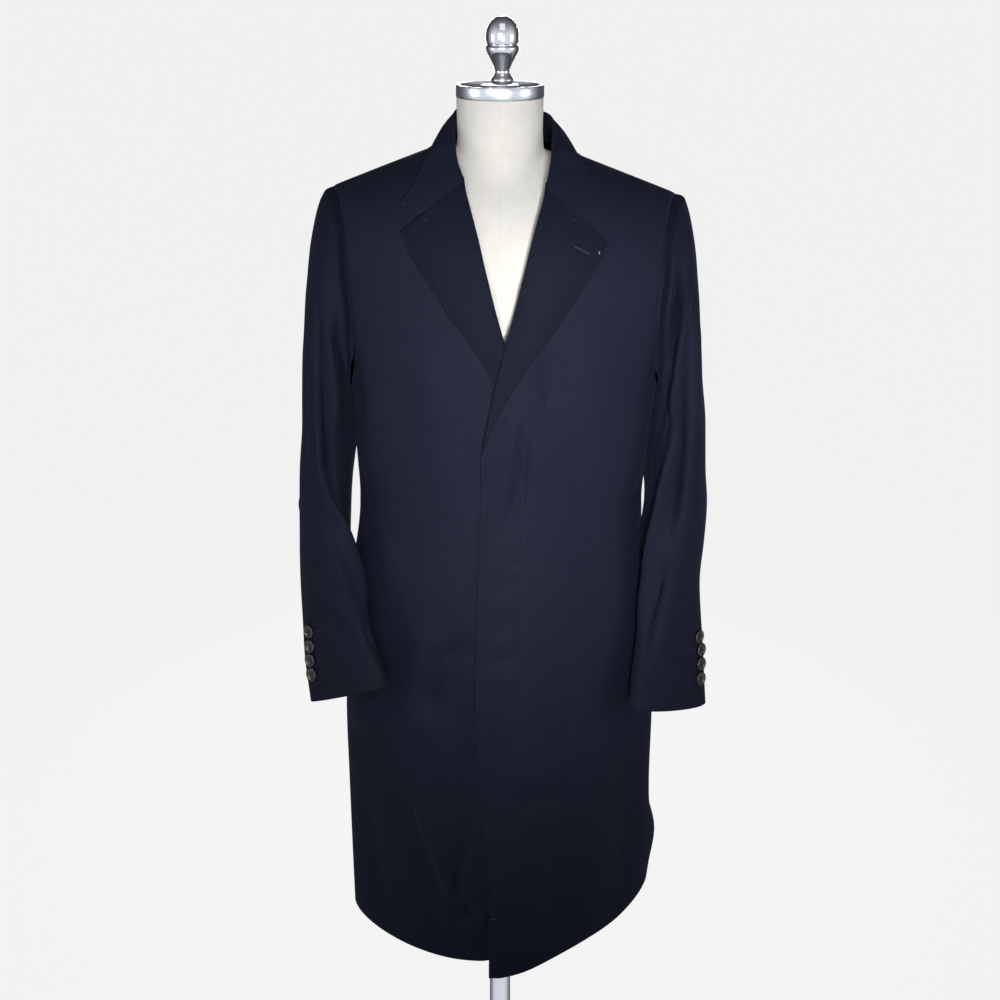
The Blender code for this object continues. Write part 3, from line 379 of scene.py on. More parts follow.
def makeThread(name, low, high, roughness):
    # twisted sewing thread
    material, tree, shader = startMaterial(name, {
        "Sheen Weight": 0.02,
        "Sheen Roughness": 0.4,
        "Specular IOR Level": 0.2,
        "Roughness": roughness,
    })
    space = addNode(tree, "TexCoord").outputs["Object"]
    values = {"Scale": 420.0, "Distortion": 1.0}
    ply = textureOn(tree, "TexWave", space, values, bands_direction="DIAGONAL")
    joinColours(tree, ply, low, high, shader.inputs["Base Color"])
    addBump(tree, shader, ply, 0.0001, 0.6)
    return material


def makeHorn(name):
    # dark horn marbled with pale streaks, under a polished skin
    material, tree, shader = startMaterial(name, {
        "Specular IOR Level": 0.35,
        "Coat Weight": 0.12,
        "Coat Roughness": 0.18,
    })
    space = addNode(tree, "TexCoord").outputs["Object"]
    drawn = {"Rotation": (0.3, 0.5, 0.9), "Scale": (1.0, 0.45, 1.0)}
    drawn = textureOn(tree, "Mapping", space, drawn)
    cloud = {"Scale": 170.0, "Detail": 5.0, "Roughness": 0.6, "Distortion": 1.4}
    cloud = textureOn(tree, "TexNoise", drawn, cloud)
    dark, pale = (0.004, 0.0035, 0.003), (0.13, 0.11, 0.08)
    ramp = joinColours(tree, cloud, dark, pale, shader.inputs["Base Color"])
    ramp.elements[0].position = 0.36
    ramp.elements[1].position = 0.80
    ramp.elements.new(0.56).color = (0.011, 0.009, 0.007, 1)
    addGloss(tree, shader, cloud, 0.22, 0.38)
    addBump(tree, shader, cloud, 0.0002, 0.25)
    return material


def makeCanvas(name):
    # off-white cotton canvas in a plain weave
    material, tree, shader = startMaterial(name, {
        "Sheen Weight": 0.15,
        "Sheen Roughness": 0.5,
        "Specular IOR Level": 0.25,
    })
    space = addNode(tree, "TexCoord").outputs["Object"]
    values = {"Scale": 260.0, "Distortion": 1.2, "Detail": 2.0}
    warp, weft = (textureOn(tree, "TexWave", space, values, bands_direction=way) for way in "XZ")
    weave = mathNode(tree, "MULTIPLY", warp, weft)
    slub = textureOn(tree, "TexNoise", space, {"Scale": 60.0, "Detail": 6.0, "Roughness": 0.65})
    tone = addUp(tree, (weave, 0.35), (slub, 0.65))
    joinColours(tree, tone, (0.47, 0.455, 0.42), (0.64, 0.63, 0.60), shader.inputs["Base Color"])
    addGloss(tree, shader, tone, 0.88, 0.74)
    first = addBump(tree, shader, weave, 0.00025, 0.5)
    addBump(tree, shader, slub, 0.0004, 0.3, first)
    return material


def makeMetal(name, low, high, roughness, spread, scale, stretch=1.0):
    # turned or polished metal: fine marks drawn out along one direction
    material, tree, shader = startMaterial(name, {"Metallic": 1.0})
    space = addNode(tree, "TexCoord").outputs["Object"]
    drawn = textureOn(tree, "Mapping", space, {"Scale": (1.0, 1.0, stretch)})
    marks = textureOn(tree, "TexNoise", drawn, {"Scale": scale, "Detail": 5.0, "Roughness": 0.6})
    joinColours(tree, marks, low, high, shader.inputs["Base Color"])
    addGloss(tree, shader, marks, roughness - spread, roughness + spread)
    addBump(tree, shader, marks, 0.00002, 0.4)
    return material


def makePaint(name):
    # satin paint on cast iron, with a faint orange peel
    material, tree, shader = startMaterial(name, {"Coat Weight": 0.2, "Coat Roughness": 0.3})
    space = addNode(tree, "TexCoord").outputs["Object"]
    peel = textureOn(tree, "TexNoise", space, {"Scale": 320.0, "Detail": 2.0})
    wear = textureOn(tree, "TexNoise", space, {"Scale": 12.0, "Detail": 6.0})
    joinColours(tree, wear, (0.30, 0.30, 0.31), (0.42, 0.42, 0.43), shader.inputs["Base Color"])
    addGloss(tree, shader, wear, 0.40, 0.56)
    addBump(tree, shader, peel, 0.0002, 0.25)
    return material


wool = makeWool("navyOvercoating", 27.0)
# the lapels' cloth: its own twill lean and contrast, and painted shade that darkens it to about 0.7
woolLapelRightPaintedShade = makeWool("navyOvercoatingLapelRightPaintedShade", 4.0, contrast=2.2, paintedShade=0.68)
woolLapelLeftPaintedShade = makeWool("navyOvercoatingLapelLeftPaintedShade", -45.0, contrast=0.8, paintedShade=0.70)
woolCollar = makeWool("navyOvercoatingCollar", 60.0)
# the sleeves' cloth: the same twill, darkened to 0.82 as painted shade
woolSleevePaintedShade = makeWool("navyOvercoatingSleevePaintedShade", 20.0, paintedShade=0.82)
thread = makeThread("navyThread", (0.0045, 0.0055, 0.0125), (0.0110, 0.0130, 0.0270), 0.7)
holeThread = makeThread("buttonholeThread", (0.022, 0.028, 0.046), (0.050, 0.062, 0.088), 0.6)
whiteThread = makeThread("bastingThread", (0.62, 0.62, 0.60), (0.82, 0.82, 0.80), 0.6)
horn = makeHorn("marbledHorn")
canvas = makeCanvas("creamCanvas")
aluminium = makeMetal("turnedAluminium", (0.36, 0.375, 0.40), (0.58, 0.60, 0.635), 0.30, 0.08, 90.0, 14.0)
polished = makeMetal("polishedMetal", (0.52, 0.52, 0.53), (0.60, 0.60, 0.61), 0.13, 0.03, 40.0)
steel = makeMetal("satinSteel", (0.48, 0.48, 0.50), (0.66, 0.66, 0.68), 0.32, 0.07, 60.0, 0.05)
paint = makePaint("satinPaint")
print("materials made")


# pieces made from grids of points
clothSettings = {"wall": 0.002, "gap": 0.0003, "rim": 0.35, "merge": 1e-6, "sharp": 62.0}
layer = clothSettings["wall"] + clothSettings["gap"]


def finishPiece(name, mesh, finish, nodes, sharp):
    mesh.shade_smooth()
    mesh.set_sharp_from_angle(angle=math.radians(sharp))
    mesh.materials.append(finish)
    piece = bpy.data.objects.new(name, mesh)
    bpy.context.scene.collection.objects.link(piece)
    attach(piece, "root")
    if nodes:
        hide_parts(*nodes)
    return piece


def cleanMesh(mesh, merge=None):
    # joins points that coincide, and turns every face outwards
    work = bmesh.new()
    work.from_mesh(mesh)
    if merge is not None:
        bmesh.ops.remove_doubles(work, verts=work.verts, dist=merge)
    bmesh.ops.recalc_face_normals(work, faces=work.faces)
    work.to_mesh(mesh)
    work.free()


def clothShell(name, grid, normals, finish, nodes, free=("", "", "", ""), wall=None, flat=None):
    # a closed wall between a grid of points and the same grid moved in; free edges are rounded
    wall = clothSettings["wall"] if wall is None else wall
    rows, columns = grid.shape[:2]
    inner = grid - normals * wall
    rim = [(0, j) for j in range(columns)]
    rim += [(i, columns - 1) for i in range(1, rows)]
    rim += [(rows - 1, j) for j in range(columns - 2, -1, -1)]
    rim += [(i, 0) for i in range(rows - 2, 0, -1)]
    push = np.zeros_like(grid)
    edges = (
        (free[0], np.s_[0, :], np.s_[1, :]),
        (free[1], np.s_[-1, :], np.s_[-2, :]),
        (free[2], np.s_[:, 0], np.s_[:, 1]),
        (free[3], np.s_[:, -1], np.s_[:, -2]),
    )
    for amount, edge, beside in edges:
        if not isinstance(amount, str):
            amount = np.asarray(amount, float)[..., None]
            push[edge] += unit(grid[edge] - grid[beside]) * amount * clothSettings["rim"] * wall
    middle = [(grid[at] + inner[at]) / 2 + push[at] for at in rim]
    points = np.concatenate([grid.reshape(-1, 3), inner.reshape(-1, 3), np.array(middle)])
    far = rows * columns
    number = np.arange(far).reshape(rows, columns)
    a, b, c, d = number[:-1, :-1], number[:-1, 1:], number[1:, 1:], number[1:, :-1]
    outerFaces = np.stack([a, b, c, d], axis=-1).reshape(-1, 4)
    innerFaces = np.stack([d, c, b, a], axis=-1).reshape(-1, 4) + far
    edge = np.array([number[at] for at in rim])
    after = np.roll(edge, -1)
    between = 2 * far + np.arange(len(rim))
    betweenNext = np.roll(between, -1)
    upper = np.stack([after, edge, between, betweenNext], axis=-1)
    lower = np.stack([betweenNext, between, edge + far, after + far], axis=-1)
    faces = np.concatenate([outerFaces, innerFaces, upper, lower])
    mesh = bpy.data.meshes.new(name)
    mesh.from_pydata(points.tolist(), [], faces.tolist())
    if flat is None:
        flat = np.stack([lengthsAlong(grid, 1), lengthsAlong(grid, 0)], axis=-1)
    flatRim = np.array([flat[at] for at in rim])
    spots = np.concatenate([flat.reshape(-1, 2), flat.reshape(-1, 2), flatRim])
    layerOfCloth = mesh.uv_layers.new(name="cloth")
    corners = np.zeros(len(mesh.loops), np.int32)
    mesh.loops.foreach_get("vertex_index", corners)
    layerOfCloth.data.foreach_set("uv", spots[corners].reshape(-1).astype(np.float32))
    cleanMesh(mesh, clothSettings["merge"])
    return finishPiece(name, mesh, finish, nodes, clothSettings["sharp"])


# the coat's body, on the same lines as its solids
coat = {
    "hem": 0.420,
    "underarm": 1.200,
    "shoulderTip": 1.459,
    "chestTop": 1.360,  # above it the panels arch over the shoulder
    "arch": 0.100,
    "shoulderSlope": 0.388,
    "tipAcross": 0.2245,
    "neckSoftness": 0.020,
    "lean": 0.005,  # it hangs this much lower on its left
    "leanHalf": 0.06,
    "leanFrom": 1.10,
    "leanReach": 0.2,
    "swingBack": 0.022,  # the skirt's left side hangs back, with a fold behind its seam
    "swingTop": 0.66,
    "swingReach": 0.24,
    "flareOut": 0.021,
    "flareTurn": 108.0,
    "flareSpread": 14.0,
    "flareLevel": 0.500,
    "flareHeight": 0.060,
}
hemDrops = {
    "columns": ("degrees", "left", "right"),
    "rows": (
        (-15, 0.026, -0.003),
        (0, 0.026, -0.001),
        (12, 0.021, 0.004),
        (25, 0.010, 0.008),
        (40, -0.002, 0.008),
        (55, -0.010, 0.005),
        (70, -0.019, 0.002),
        (85, -0.024, 0.000),
        (95, -0.024, 0.000),
        (115, -0.017, 0.000),
        (140, -0.005, 0.000),
        (180, 0.000, 0.000),
    ),
}
bodyRings = {
    "columns": ("height", "halfWidth", "front", "back", "frontRound", "backRound", "shift"),
    "rows": (
        (0.380, 0.2125, 0.174, 0.167, 1.56, 2.15, 0.0000),
        (0.515, 0.2160, 0.165, 0.160, 1.65, 2.20, 0.0010),
        (0.620, 0.2155, 0.159, 0.155, 1.78, 2.20, -0.0010),
        (0.740, 0.2165, 0.152, 0.149, 1.92, 2.25, -0.0010),
        (0.860, 0.2110, 0.145, 0.142, 2.10, 2.30, 0.0000),
        (0.940, 0.2035, 0.139, 0.132, 2.15, 2.30, 0.0000),
        (1.030, 0.1925, 0.133, 0.116, 2.20, 2.30, 0.0010),
        (1.120, 0.1975, 0.133, 0.111, 2.25, 2.30, 0.0030),
        (1.200, 0.2045, 0.136, 0.119, 2.30, 2.30, 0.0055),
        (1.280, 0.2190, 0.137, 0.128, 2.35, 2.30, 0.0060),
        (1.360, 0.2320, 0.131, 0.131, 2.40, 2.35, 0.0060),
    ),
}
armhole = {"topTurn": 16.0, "front": 27.0, "back": 25.0, "taper": 0.35}
rollLine = {
    "columns": ("height", "across"),
    "rows": (
        (1.137, -0.0270),
        (1.180, -0.0210),
        (1.2385, -0.0100),
        (1.281, 0.0000),
        (1.322, 0.0116),
        (1.3716, 0.0240),
        (1.4208, 0.0360),
        (1.4807, 0.0535),
        (1.5185, 0.0655),
    ),
}
frontEdges = {
    "columns": ("height", "left", "right"),
    "rows": (
        (0.380, -0.0150, -0.030),
        (0.470, -0.0155, -0.030),
        (0.570, -0.0190, -0.030),
        (0.656, -0.0245, -0.030),
        (0.743, -0.0305, -0.030),
        (0.813, -0.0320, -0.030),
        (0.972, -0.0290, -0.030),
        (1.0466, -0.0265, -0.030),
        (1.137, -0.0270, -0.027),
    ),
}
overlap = {
    "dip": 0.0022,
    "dipAway": 0.0022,
    "dipWide": 0.0034,
    "dipFade": 0.03,
    "breakHeight": 1.137,
    "edgeEnds": 0.004,  # the stitched edge runs this far past the break
    "edgeFade": 0.012,
    "crossing": 1.281,
    "tries": 6,
    "start": 0.0265,
    "reach": 0.070,
    "fronts": layer * 1.25,
    "lapel": layer + 0.0014,
    "fade": 0.05,
}
neckline = {
    "gorge": 1.4750,
    "back": 58.0,
    "point": 1.5185,
    "seamOut": 0.0050,
    "seamStart": 0.012,
    "seamReach": 0.0156,
    "round": 0.7,
}


def shoulderLine(across):
    soft = np.sqrt(np.asarray(across) ** 2 + coat["neckSoftness"] ** 2)
    return coat["shoulderTip"] + coat["shoulderSlope"] * (coat["tipAcross"] - soft)


def place(side, points):
    # world points from coat coordinates: the sideways shift and the coat's lean
    across, deep, height = np.moveaxis(np.asarray(points, float), -1, 0)
    shift = read(bodyRings, "shift", height)
    lean = coat["lean"] * np.tanh(side * across / coat["leanHalf"])
    lean = lean * ease((height - coat["leanFrom"]) / coat["leanReach"])
    return np.stack([side * across + shift, deep, height - lean], axis=-1)


def shape(turn, level):
    # outer face of one half of the coat; turn is 0 at centre front and pi at centre back
    turn, level = np.broadcast_arrays(np.asarray(turn, float), np.asarray(level, float))
    height = np.minimum(level, coat["chestTop"])
    over = np.maximum(level - coat["chestTop"], 0) / coat["arch"] * quarter
    onFront = turn < quarter
    kind = np.where(onFront, read(bodyRings, "frontRound", height), read(bodyRings, "backRound", height))
    reach = np.where(onFront, -read(bodyRings, "front", height), read(bodyRings, "back", height))
    across = read(bodyRings, "halfWidth", height) * signedPower(np.sin(turn), 2 / kind)
    deep = reach * np.abs(np.cos(turn)) ** (2 / kind) * np.cos(over)
    rise = (shoulderLine(across) - coat["chestTop"]) * np.sin(over)
    return np.stack(np.broadcast_arrays(across, deep, height + rise), axis=-1)


def shapeNormal(turn, level, step=1e-4):
    turn = np.minimum(turn, np.pi - step)
    ahead = shape(turn + step, level) - shape(turn - step, level)
    up = shape(turn, level + step) - shape(turn, level - step)
    return unit(np.cross(ahead, up))


def swing(side, turn, level):
    if side < 0:
        return 0.0, 0.0
    back = coat["swingBack"] * ease((coat["swingTop"] - level) / coat["swingReach"]) * np.sin(turn) ** 4
    away = ((np.degrees(turn) - coat["flareTurn"]) / coat["flareSpread"]) ** 2
    away = away + ((level - coat["flareLevel"]) / coat["flareHeight"]) ** 2
    return back, coat["flareOut"] * np.exp(-away)


def body(side, turn, level, out=0.0):
    back, fold = swing(side, turn, level)
    points = shape(turn, level) + shapeNormal(turn, level) * np.asarray(out + fold)[..., None]
    points[..., 1] += back
    return place(side, points)


def outward(side, turn, level):
    return shapeNormal(turn, level) * np.array([side, 1.0, 1.0])


def find(across, height, back=False):
    rise = np.maximum(height - coat["chestTop"], 0) / (shoulderLine(across) - coat["chestTop"])
    level = np.minimum(height, coat["chestTop"]) + coat["arch"] * np.arcsin(np.clip(rise, 0, 1)) / quarter
    low = np.minimum(height, coat["chestTop"])
    kind = read(bodyRings, "backRound" if back else "frontRound", low)
    half = read(bodyRings, "halfWidth", low)
    turn = np.arcsin(signedPower(np.clip(across / half, -1, 1), kind / 2))
    return (np.pi - turn if back else turn), level


def armholeLevel(share):
    height = coat["underarm"] + (coat["shoulderTip"] - coat["underarm"]) * share
    rise = np.clip((height - coat["chestTop"]) / (coat["shoulderTip"] - coat["chestTop"]), 0, 1)
    return np.minimum(height, coat["chestTop"]) + coat["arch"] * np.arcsin(rise) / quarter


def armholeTurn(share, half):
    bite = math.radians(armhole[half]) * np.sqrt(np.maximum(4 * share * (1 - share), 0))
    return quarter - math.radians(armhole["topTurn"]) * share - bite * (1 - armhole["taper"] * share)


def neckSeam(height):
    above = height - neckline["gorge"] + neckline["seamStart"]
    away = neckline["seamOut"] * ease(above / neckline["seamReach"])
    return float(read(rollLine, "across", height) + away)


def frontEdge(side, level):
    # turn of a front's inner edge at each row
    turns = []
    for each in level:
        over = max(0.0, each - coat["chestTop"]) / coat["arch"] * quarter
        across = 0.0
        height = min(each, coat["chestTop"])
        for _ in range(overlap["tries"]):
            top = height + (float(shoulderLine(across)) - coat["chestTop"]) * math.sin(over)
            if top > overlap["breakHeight"]:
                across = neckSeam(top)
            else:
                across = float(read(frontEdges, "left" if side > 0 else "right", top))
        kind = float(read(bodyRings, "frontRound", height))
        half = float(read(bodyRings, "halfWidth", height))
        turns.append(float(np.arcsin(signedPower(across / half, kind / 2))))
    return np.array(turns)


def overLayers(side, across, height):
    if side < 0:
        return np.zeros(np.broadcast(across, height).shape)
    lap = 1 - ease((across - overlap["start"]) / overlap["reach"])
    below = 1 - ease((height - overlap["crossing"]) / overlap["fade"])
    lapel = overlap["lapel"] * ease((height - overlap["breakHeight"]) / overlap["fade"] + 1)
    return lap * below * (overlap["fronts"] + lapel)


def lowered(side, turn, level):
    low = np.clip((coat["underarm"] - level) / (coat["underarm"] - coat["hem"]), 0, 1) ** 3
    return level - read(hemDrops, "left" if side > 0 else "right", np.degrees(turn)) * low


# the four body panels
panelSettings = {
    "lowerRows": 168,
    "upperRows": 58,
    "hemRows": (0.0, 0.0012, 0.0025, 0.0042, 0.0065, 0.0095, 0.0135),
    "edgeColumns": (0.0, 0.0012, 0.0025, 0.0040, 0.0052, 0.0060, 0.0066, 0.0072, 0.0080, 0.0095, 0.0120),
    "fineReach": {1: 0.076, -1: 0.030},
    "fineStep": {1: 0.0016, -1: 0.0030},
    "farColumns": 60,
    "backColumns": 74,
    "backEdge": (0.0, 0.0015, 0.0035, 0.0065),
    "samples": {"front": 700, "back": 600},
    "firstTurn": -0.32,
    "rollInset": 0.0026,  # above the break a front's edge stops this far inside the lapel's roll
    "rollFade": 0.014,
    "edgeSwell": 0.0007,
    "edgeGroove": 0.0006,
    "edgeStitch": 0.0066,
    "swellFrom": 0.7,  # shares of the way to the stitches, where the swell starts to fade and over what
    "swellFade": 0.4,
    "grooveWide": 0.0012,
    "foldsEnd": 0.022,  # folds die out this near a seam
    "seamDeep": 0.0011,
    "seamWide": 0.0024,
    "armholeDeep": 0.0030,
    "armholeWide": 0.0042,
    "armholeFrom": 0.006,
    "armholeFade": 0.04,
}
flyStitch = ((0.0331, 1.220), (0.0307, 1.094), (0.0302, 0.974), (0.0287, 0.886), (0.0280, 0.819),
             (0.0250, 0.8014), (0.0174, 0.7924), (0.0080, 0.7841), (-0.0080, 0.7727), (-0.0241, 0.7638))
# each fold: half width, depth (a ridge is below 0), and its line as (girth from the middle, height)
frontFolds = {
    1: (
        (0.0024, 0.0007, smoothLine(flyStitch) * (0.95, 1.0)),
        (0.0083, 0.0056, ((0.027, 1.190), (0.025, 1.110), (0.021, 1.076), (0.009, 1.051), (-0.008, 1.020))),
        (0.0110, -0.0043, ((0.014, 1.205), (0.011, 1.140), (0.004, 1.085), (-0.006, 1.045))),
        (0.0077, 0.0026, ((0.030, 0.992), (0.016, 0.989), (0.002, 0.982))),
        (0.0077, 0.0030, ((0.030, 0.980), (0.012, 0.962), (-0.018, 0.944))),
        (0.0088, -0.0017, ((0.030, 0.948), (0.010, 0.932), (-0.016, 0.922))),
        (0.0077, 0.0026, ((0.024, 0.918), (0.004, 0.899), (-0.018, 0.888))),
        (0.0099, 0.0033, ((0.034, 0.868), (0.010, 0.858), (-0.020, 0.856))),
        (0.0110, -0.0016, ((0.032, 0.840), (0.006, 0.830), (-0.020, 0.826))),
        (0.0083, 0.0048, ((0.050, 1.285), (0.052, 1.243), (0.055, 1.195))),
        (0.0220, -0.0043, ((0.020, 0.706), (0.050, 0.688), (0.092, 0.686))),
        (0.0143, 0.0078, ((0.010, 0.664), (0.042, 0.653), (0.098, 0.650))),
        (0.0132, 0.0052, ((-0.004, 0.780), (0.003, 0.700), (0.012, 0.600))),
        (0.0132, 0.0039, ((0.108, 0.770), (0.138, 0.746), (0.168, 0.756))),
        (0.0264, 0.0078, ((0.190, 0.860), (0.196, 0.720), (0.206, 0.560), (0.200, 0.420))),
        (0.0286, -0.0066, ((0.150, 0.820), (0.146, 0.640), (0.136, 0.420))),
        (0.0308, 0.0056, ((0.088, 0.640), (0.080, 0.520), (0.070, 0.400))),
        (0.0330, -0.0047, ((0.120, 1.340), (0.112, 1.240), (0.098, 1.120))),
        (0.0220, 0.0048, ((0.250, 1.080), (0.200, 1.050), (0.150, 1.046))),
        (0.0198, -0.0027, ((0.252, 1.052), (0.205, 1.026), (0.160, 1.018))),
    ),
    -1: (
        (0.0176, 0.0104, ((0.026, 0.892), (0.048, 0.872), (0.080, 0.850), (0.094, 0.812), (0.098, 0.752))),
        (0.0242, -0.0070, ((0.060, 0.902), (0.100, 0.868), (0.120, 0.800), (0.124, 0.700))),
        (0.0143, 0.0078, ((0.052, 0.850), (0.043, 0.780), (0.043, 0.700), (0.046, 0.600))),
        (0.0154, -0.0088, ((0.126, 0.690), (0.108, 0.622), (0.080, 0.545), (0.062, 0.470))),
        (0.0165, 0.0094, ((0.146, 0.680), (0.128, 0.606), (0.104, 0.538), (0.086, 0.450))),
        (0.0088, 0.0068, ((0.030, 0.662), (0.044, 0.592), (0.060, 0.538), (0.064, 0.480))),
        (0.0099, -0.0039, ((0.018, 0.640), (0.030, 0.608), (0.046, 0.574))),
        (0.0088, 0.0052, ((0.036, 0.502), (0.050, 0.480), (0.070, 0.462))),
        (0.0099, -0.0033, ((0.016, 0.500), (0.032, 0.470), (0.052, 0.440))),
        (0.0165, 0.0073, ((0.262, 0.672), (0.215, 0.700), (0.165, 0.752), (0.140, 0.800))),
        (0.0220, -0.0051, ((0.250, 0.720), (0.200, 0.748), (0.160, 0.800))),
        (0.0264, 0.0073, ((0.226, 0.640), (0.206, 0.540), (0.196, 0.420))),
        (0.0308, -0.0051, ((0.110, 1.290), (0.090, 1.180), (0.086, 1.080))),
        (0.0242, 0.0048, ((0.250, 1.090), (0.200, 1.062), (0.150, 1.060))),
        (0.0198, -0.0027, ((0.250, 1.060), (0.200, 1.034), (0.165, 1.026))),
    ),
}
backFolds = {
    1: (
        (0.0260, 0.0051, ((0.112, 0.900), (0.118, 0.700), (0.128, 0.420))),
        (0.0240, -0.0045, ((0.062, 0.860), (0.068, 0.640), (0.074, 0.420))),
        (0.0220, 0.0039, ((0.024, 0.800), (0.026, 0.620), (0.030, 0.420))),
        (0.0200, -0.0039, ((0.168, 0.840), (0.178, 0.640), (0.186, 0.430))),
        (0.0150, 0.0036, ((0.236, 1.150), (0.190, 1.180), (0.140, 1.196))),
        (0.0170, -0.0033, ((0.240, 1.190), (0.196, 1.222), (0.150, 1.236))),
        (0.0160, 0.0030, ((0.246, 1.074), (0.196, 1.050), (0.120, 1.044), (0.050, 1.052))),
        (0.0160, -0.0027, ((0.240, 1.030), (0.170, 1.008), (0.090, 1.010))),
        (0.0140, 0.0024, ((0.210, 1.000), (0.140, 0.978), (0.070, 0.982))),
        (0.0300, -0.0033, ((0.110, 1.400), (0.118, 1.320), (0.104, 1.220))),
        (0.0130, 0.0024, ((0.030, 1.480), (0.055, 1.440), (0.080, 1.390))),
    ),
    -1: (
        (0.0250, 0.0045, ((0.126, 0.920), (0.136, 0.720), (0.146, 0.430))),
        (0.0260, -0.0048, ((0.080, 0.840), (0.084, 0.660), (0.092, 0.420))),
        (0.0200, 0.0036, ((0.036, 0.760), (0.040, 0.600), (0.046, 0.420))),
        (0.0220, -0.0036, ((0.188, 0.820), (0.196, 0.620), (0.204, 0.430))),
        (0.0160, 0.0039, ((0.238, 1.140), (0.186, 1.168), (0.130, 1.180))),
        (0.0160, -0.0030, ((0.240, 1.184), (0.190, 1.214), (0.140, 1.226))),
        (0.0150, 0.0027, ((0.244, 1.066), (0.180, 1.040), (0.104, 1.038), (0.040, 1.048))),
        (0.0180, -0.0027, ((0.236, 1.020), (0.160, 1.000), (0.080, 1.004))),
        (0.0130, 0.0021, ((0.200, 0.986), (0.130, 0.966), (0.060, 0.972))),
        (0.0280, -0.0030, ((0.104, 1.410), (0.110, 1.330), (0.098, 1.230))),
        (0.0130, 0.0021, ((0.034, 1.476), (0.060, 1.434), (0.086, 1.380))),
    ),
}


def panelLevels():
    hem = coat["hem"] + np.array(panelSettings["hemRows"])
    lower = np.linspace(hem[-1], coat["underarm"], panelSettings["lowerRows"] + 1)[1:]
    share = (1 - np.cos(np.linspace(0, np.pi, panelSettings["upperRows"] + 1)[1:])) / 2
    level = np.concatenate([hem, lower, armholeLevel(share)])
    return level, np.concatenate([np.zeros(len(hem) + len(lower)), share])


def girths(level, turns):
    # length round each row from its middle to each of these turns
    points = shape(turns[None, :], level[:, None])
    step = np.linalg.norm(np.diff(points, axis=1), axis=-1)
    run = np.concatenate([np.zeros((len(level), 1)), np.cumsum(step, axis=1)], axis=1)
    if turns[0] < quarter:
        run -= np.array([np.interp(0.0, turns, each) for each in run])[:, None]
    return run


def edgeRelief(away, settings=panelSettings):
    # a turned and stitched edge: thicker to the stitches, which pull it in
    stitch = settings["edgeStitch"]
    fade = ease((away / stitch - panelSettings["swellFrom"]) / panelSettings["swellFade"])
    groove = hump(away, stitch, panelSettings["grooveWide"])
    return settings["edgeSwell"] * (1 - fade) - settings["edgeGroove"] * groove


def seamRelief(away):
    return -panelSettings["seamDeep"] * hump(away, 0.0, panelSettings["seamWide"])


def turnsAt(girth, run, turns):
    return np.array([np.interp(along, known, turns) for along, known in zip(girth, run)])


def toTop(plain):
    lengths = lengthsAlong(plain, 0)
    return lengths[-1:] - lengths


def closeUp(grid, columns):
    # draws the top edge and these side edges in by half the gap between two pieces
    gap = clothSettings["gap"] / 2
    grid[-1] += unit(grid[-2] - grid[-1]) * gap
    for edge, beside in columns:
        grid[:, edge] += unit(grid[:, beside] - grid[:, edge]) * gap


def frontRelief(side, girth, height, toSeam, fromTop):
    out = foldRelief(np.stack([girth, height], axis=-1), frontFolds[side])
    out = out * ease(toSeam / panelSettings["foldsEnd"])
    if side > 0:
        below = 1 - ease((height - overlap["breakHeight"] + overlap["edgeEnds"]) / overlap["edgeFade"])
        out = out + edgeRelief(girth - girth[:, :1]) * below
    above = height - coat["underarm"] - panelSettings["armholeFrom"]
    groove = ease(above / panelSettings["armholeFade"]) * hump(toSeam, 0.0, panelSettings["armholeWide"])
    return out - groove * panelSettings["armholeDeep"] + seamRelief(toSeam) + seamRelief(fromTop)


def frontPanel(side):
    level, share = panelLevels()
    turns = np.linspace(panelSettings["firstTurn"], quarter, panelSettings["samples"]["front"])
    run = girths(level, turns)
    start = frontEdge(side, level)
    end = armholeTurn(share, "front")
    near = np.array(panelSettings["edgeColumns"])
    reach = panelSettings["fineReach"][side]
    near = np.concatenate([near, np.arange(near[-1], reach, panelSettings["fineStep"][side])[1:]])
    rows = []
    for each, (first, last) in enumerate(zip(start, end)):
        begin = np.interp(first, turns, run[each])
        finish = np.interp(last, turns, run[each])
        roll = ease((level[each] - overlap["breakHeight"]) / panelSettings["rollFade"])
        begin = begin + roll * panelSettings["rollInset"]
        far = np.linspace(begin + near[-1], finish, panelSettings["farColumns"] + 1)[1:]
        rows.append(np.concatenate([begin + near, far]))
    girth = np.array(rows)
    turn = turnsAt(girth, run, turns)
    row = lowered(side, turn, level[:, None])
    across, _, height = np.moveaxis(shape(turn, row), -1, 0)
    plain = body(side, turn, row)
    relief = frontRelief(side, girth, height, girth[:, -1:] - girth, toTop(plain))
    if side < 0:
        edge = fronts[1][0][:, 0]  # the upper front's edge
        beside = plain[..., 0] - np.interp(plain[..., 2], edge[:, 2], edge[:, 0])
        dip = overlap["dip"] * hump(beside, -overlap["dipAway"], overlap["dipWide"])
        relief = relief - dip * (1 - ease((height - overlap["breakHeight"]) / overlap["dipFade"]))
    grid = body(side, turn, row, overLayers(side, across, height) + relief)
    closeUp(grid, ((-1, -2),))
    flat = np.stack([girth * side, lengthsAlong(plain, 0)], axis=-1)
    return grid, outward(side, turn, row), flat


def backNeckLevel(across):
    short = np.maximum(0.0, 1 - (across / neckSeam(neckline["point"])) ** 2) ** neckline["round"]
    return coat["chestTop"] + coat["arch"] * (1 - short * (1 - neckline["back"] / 90))


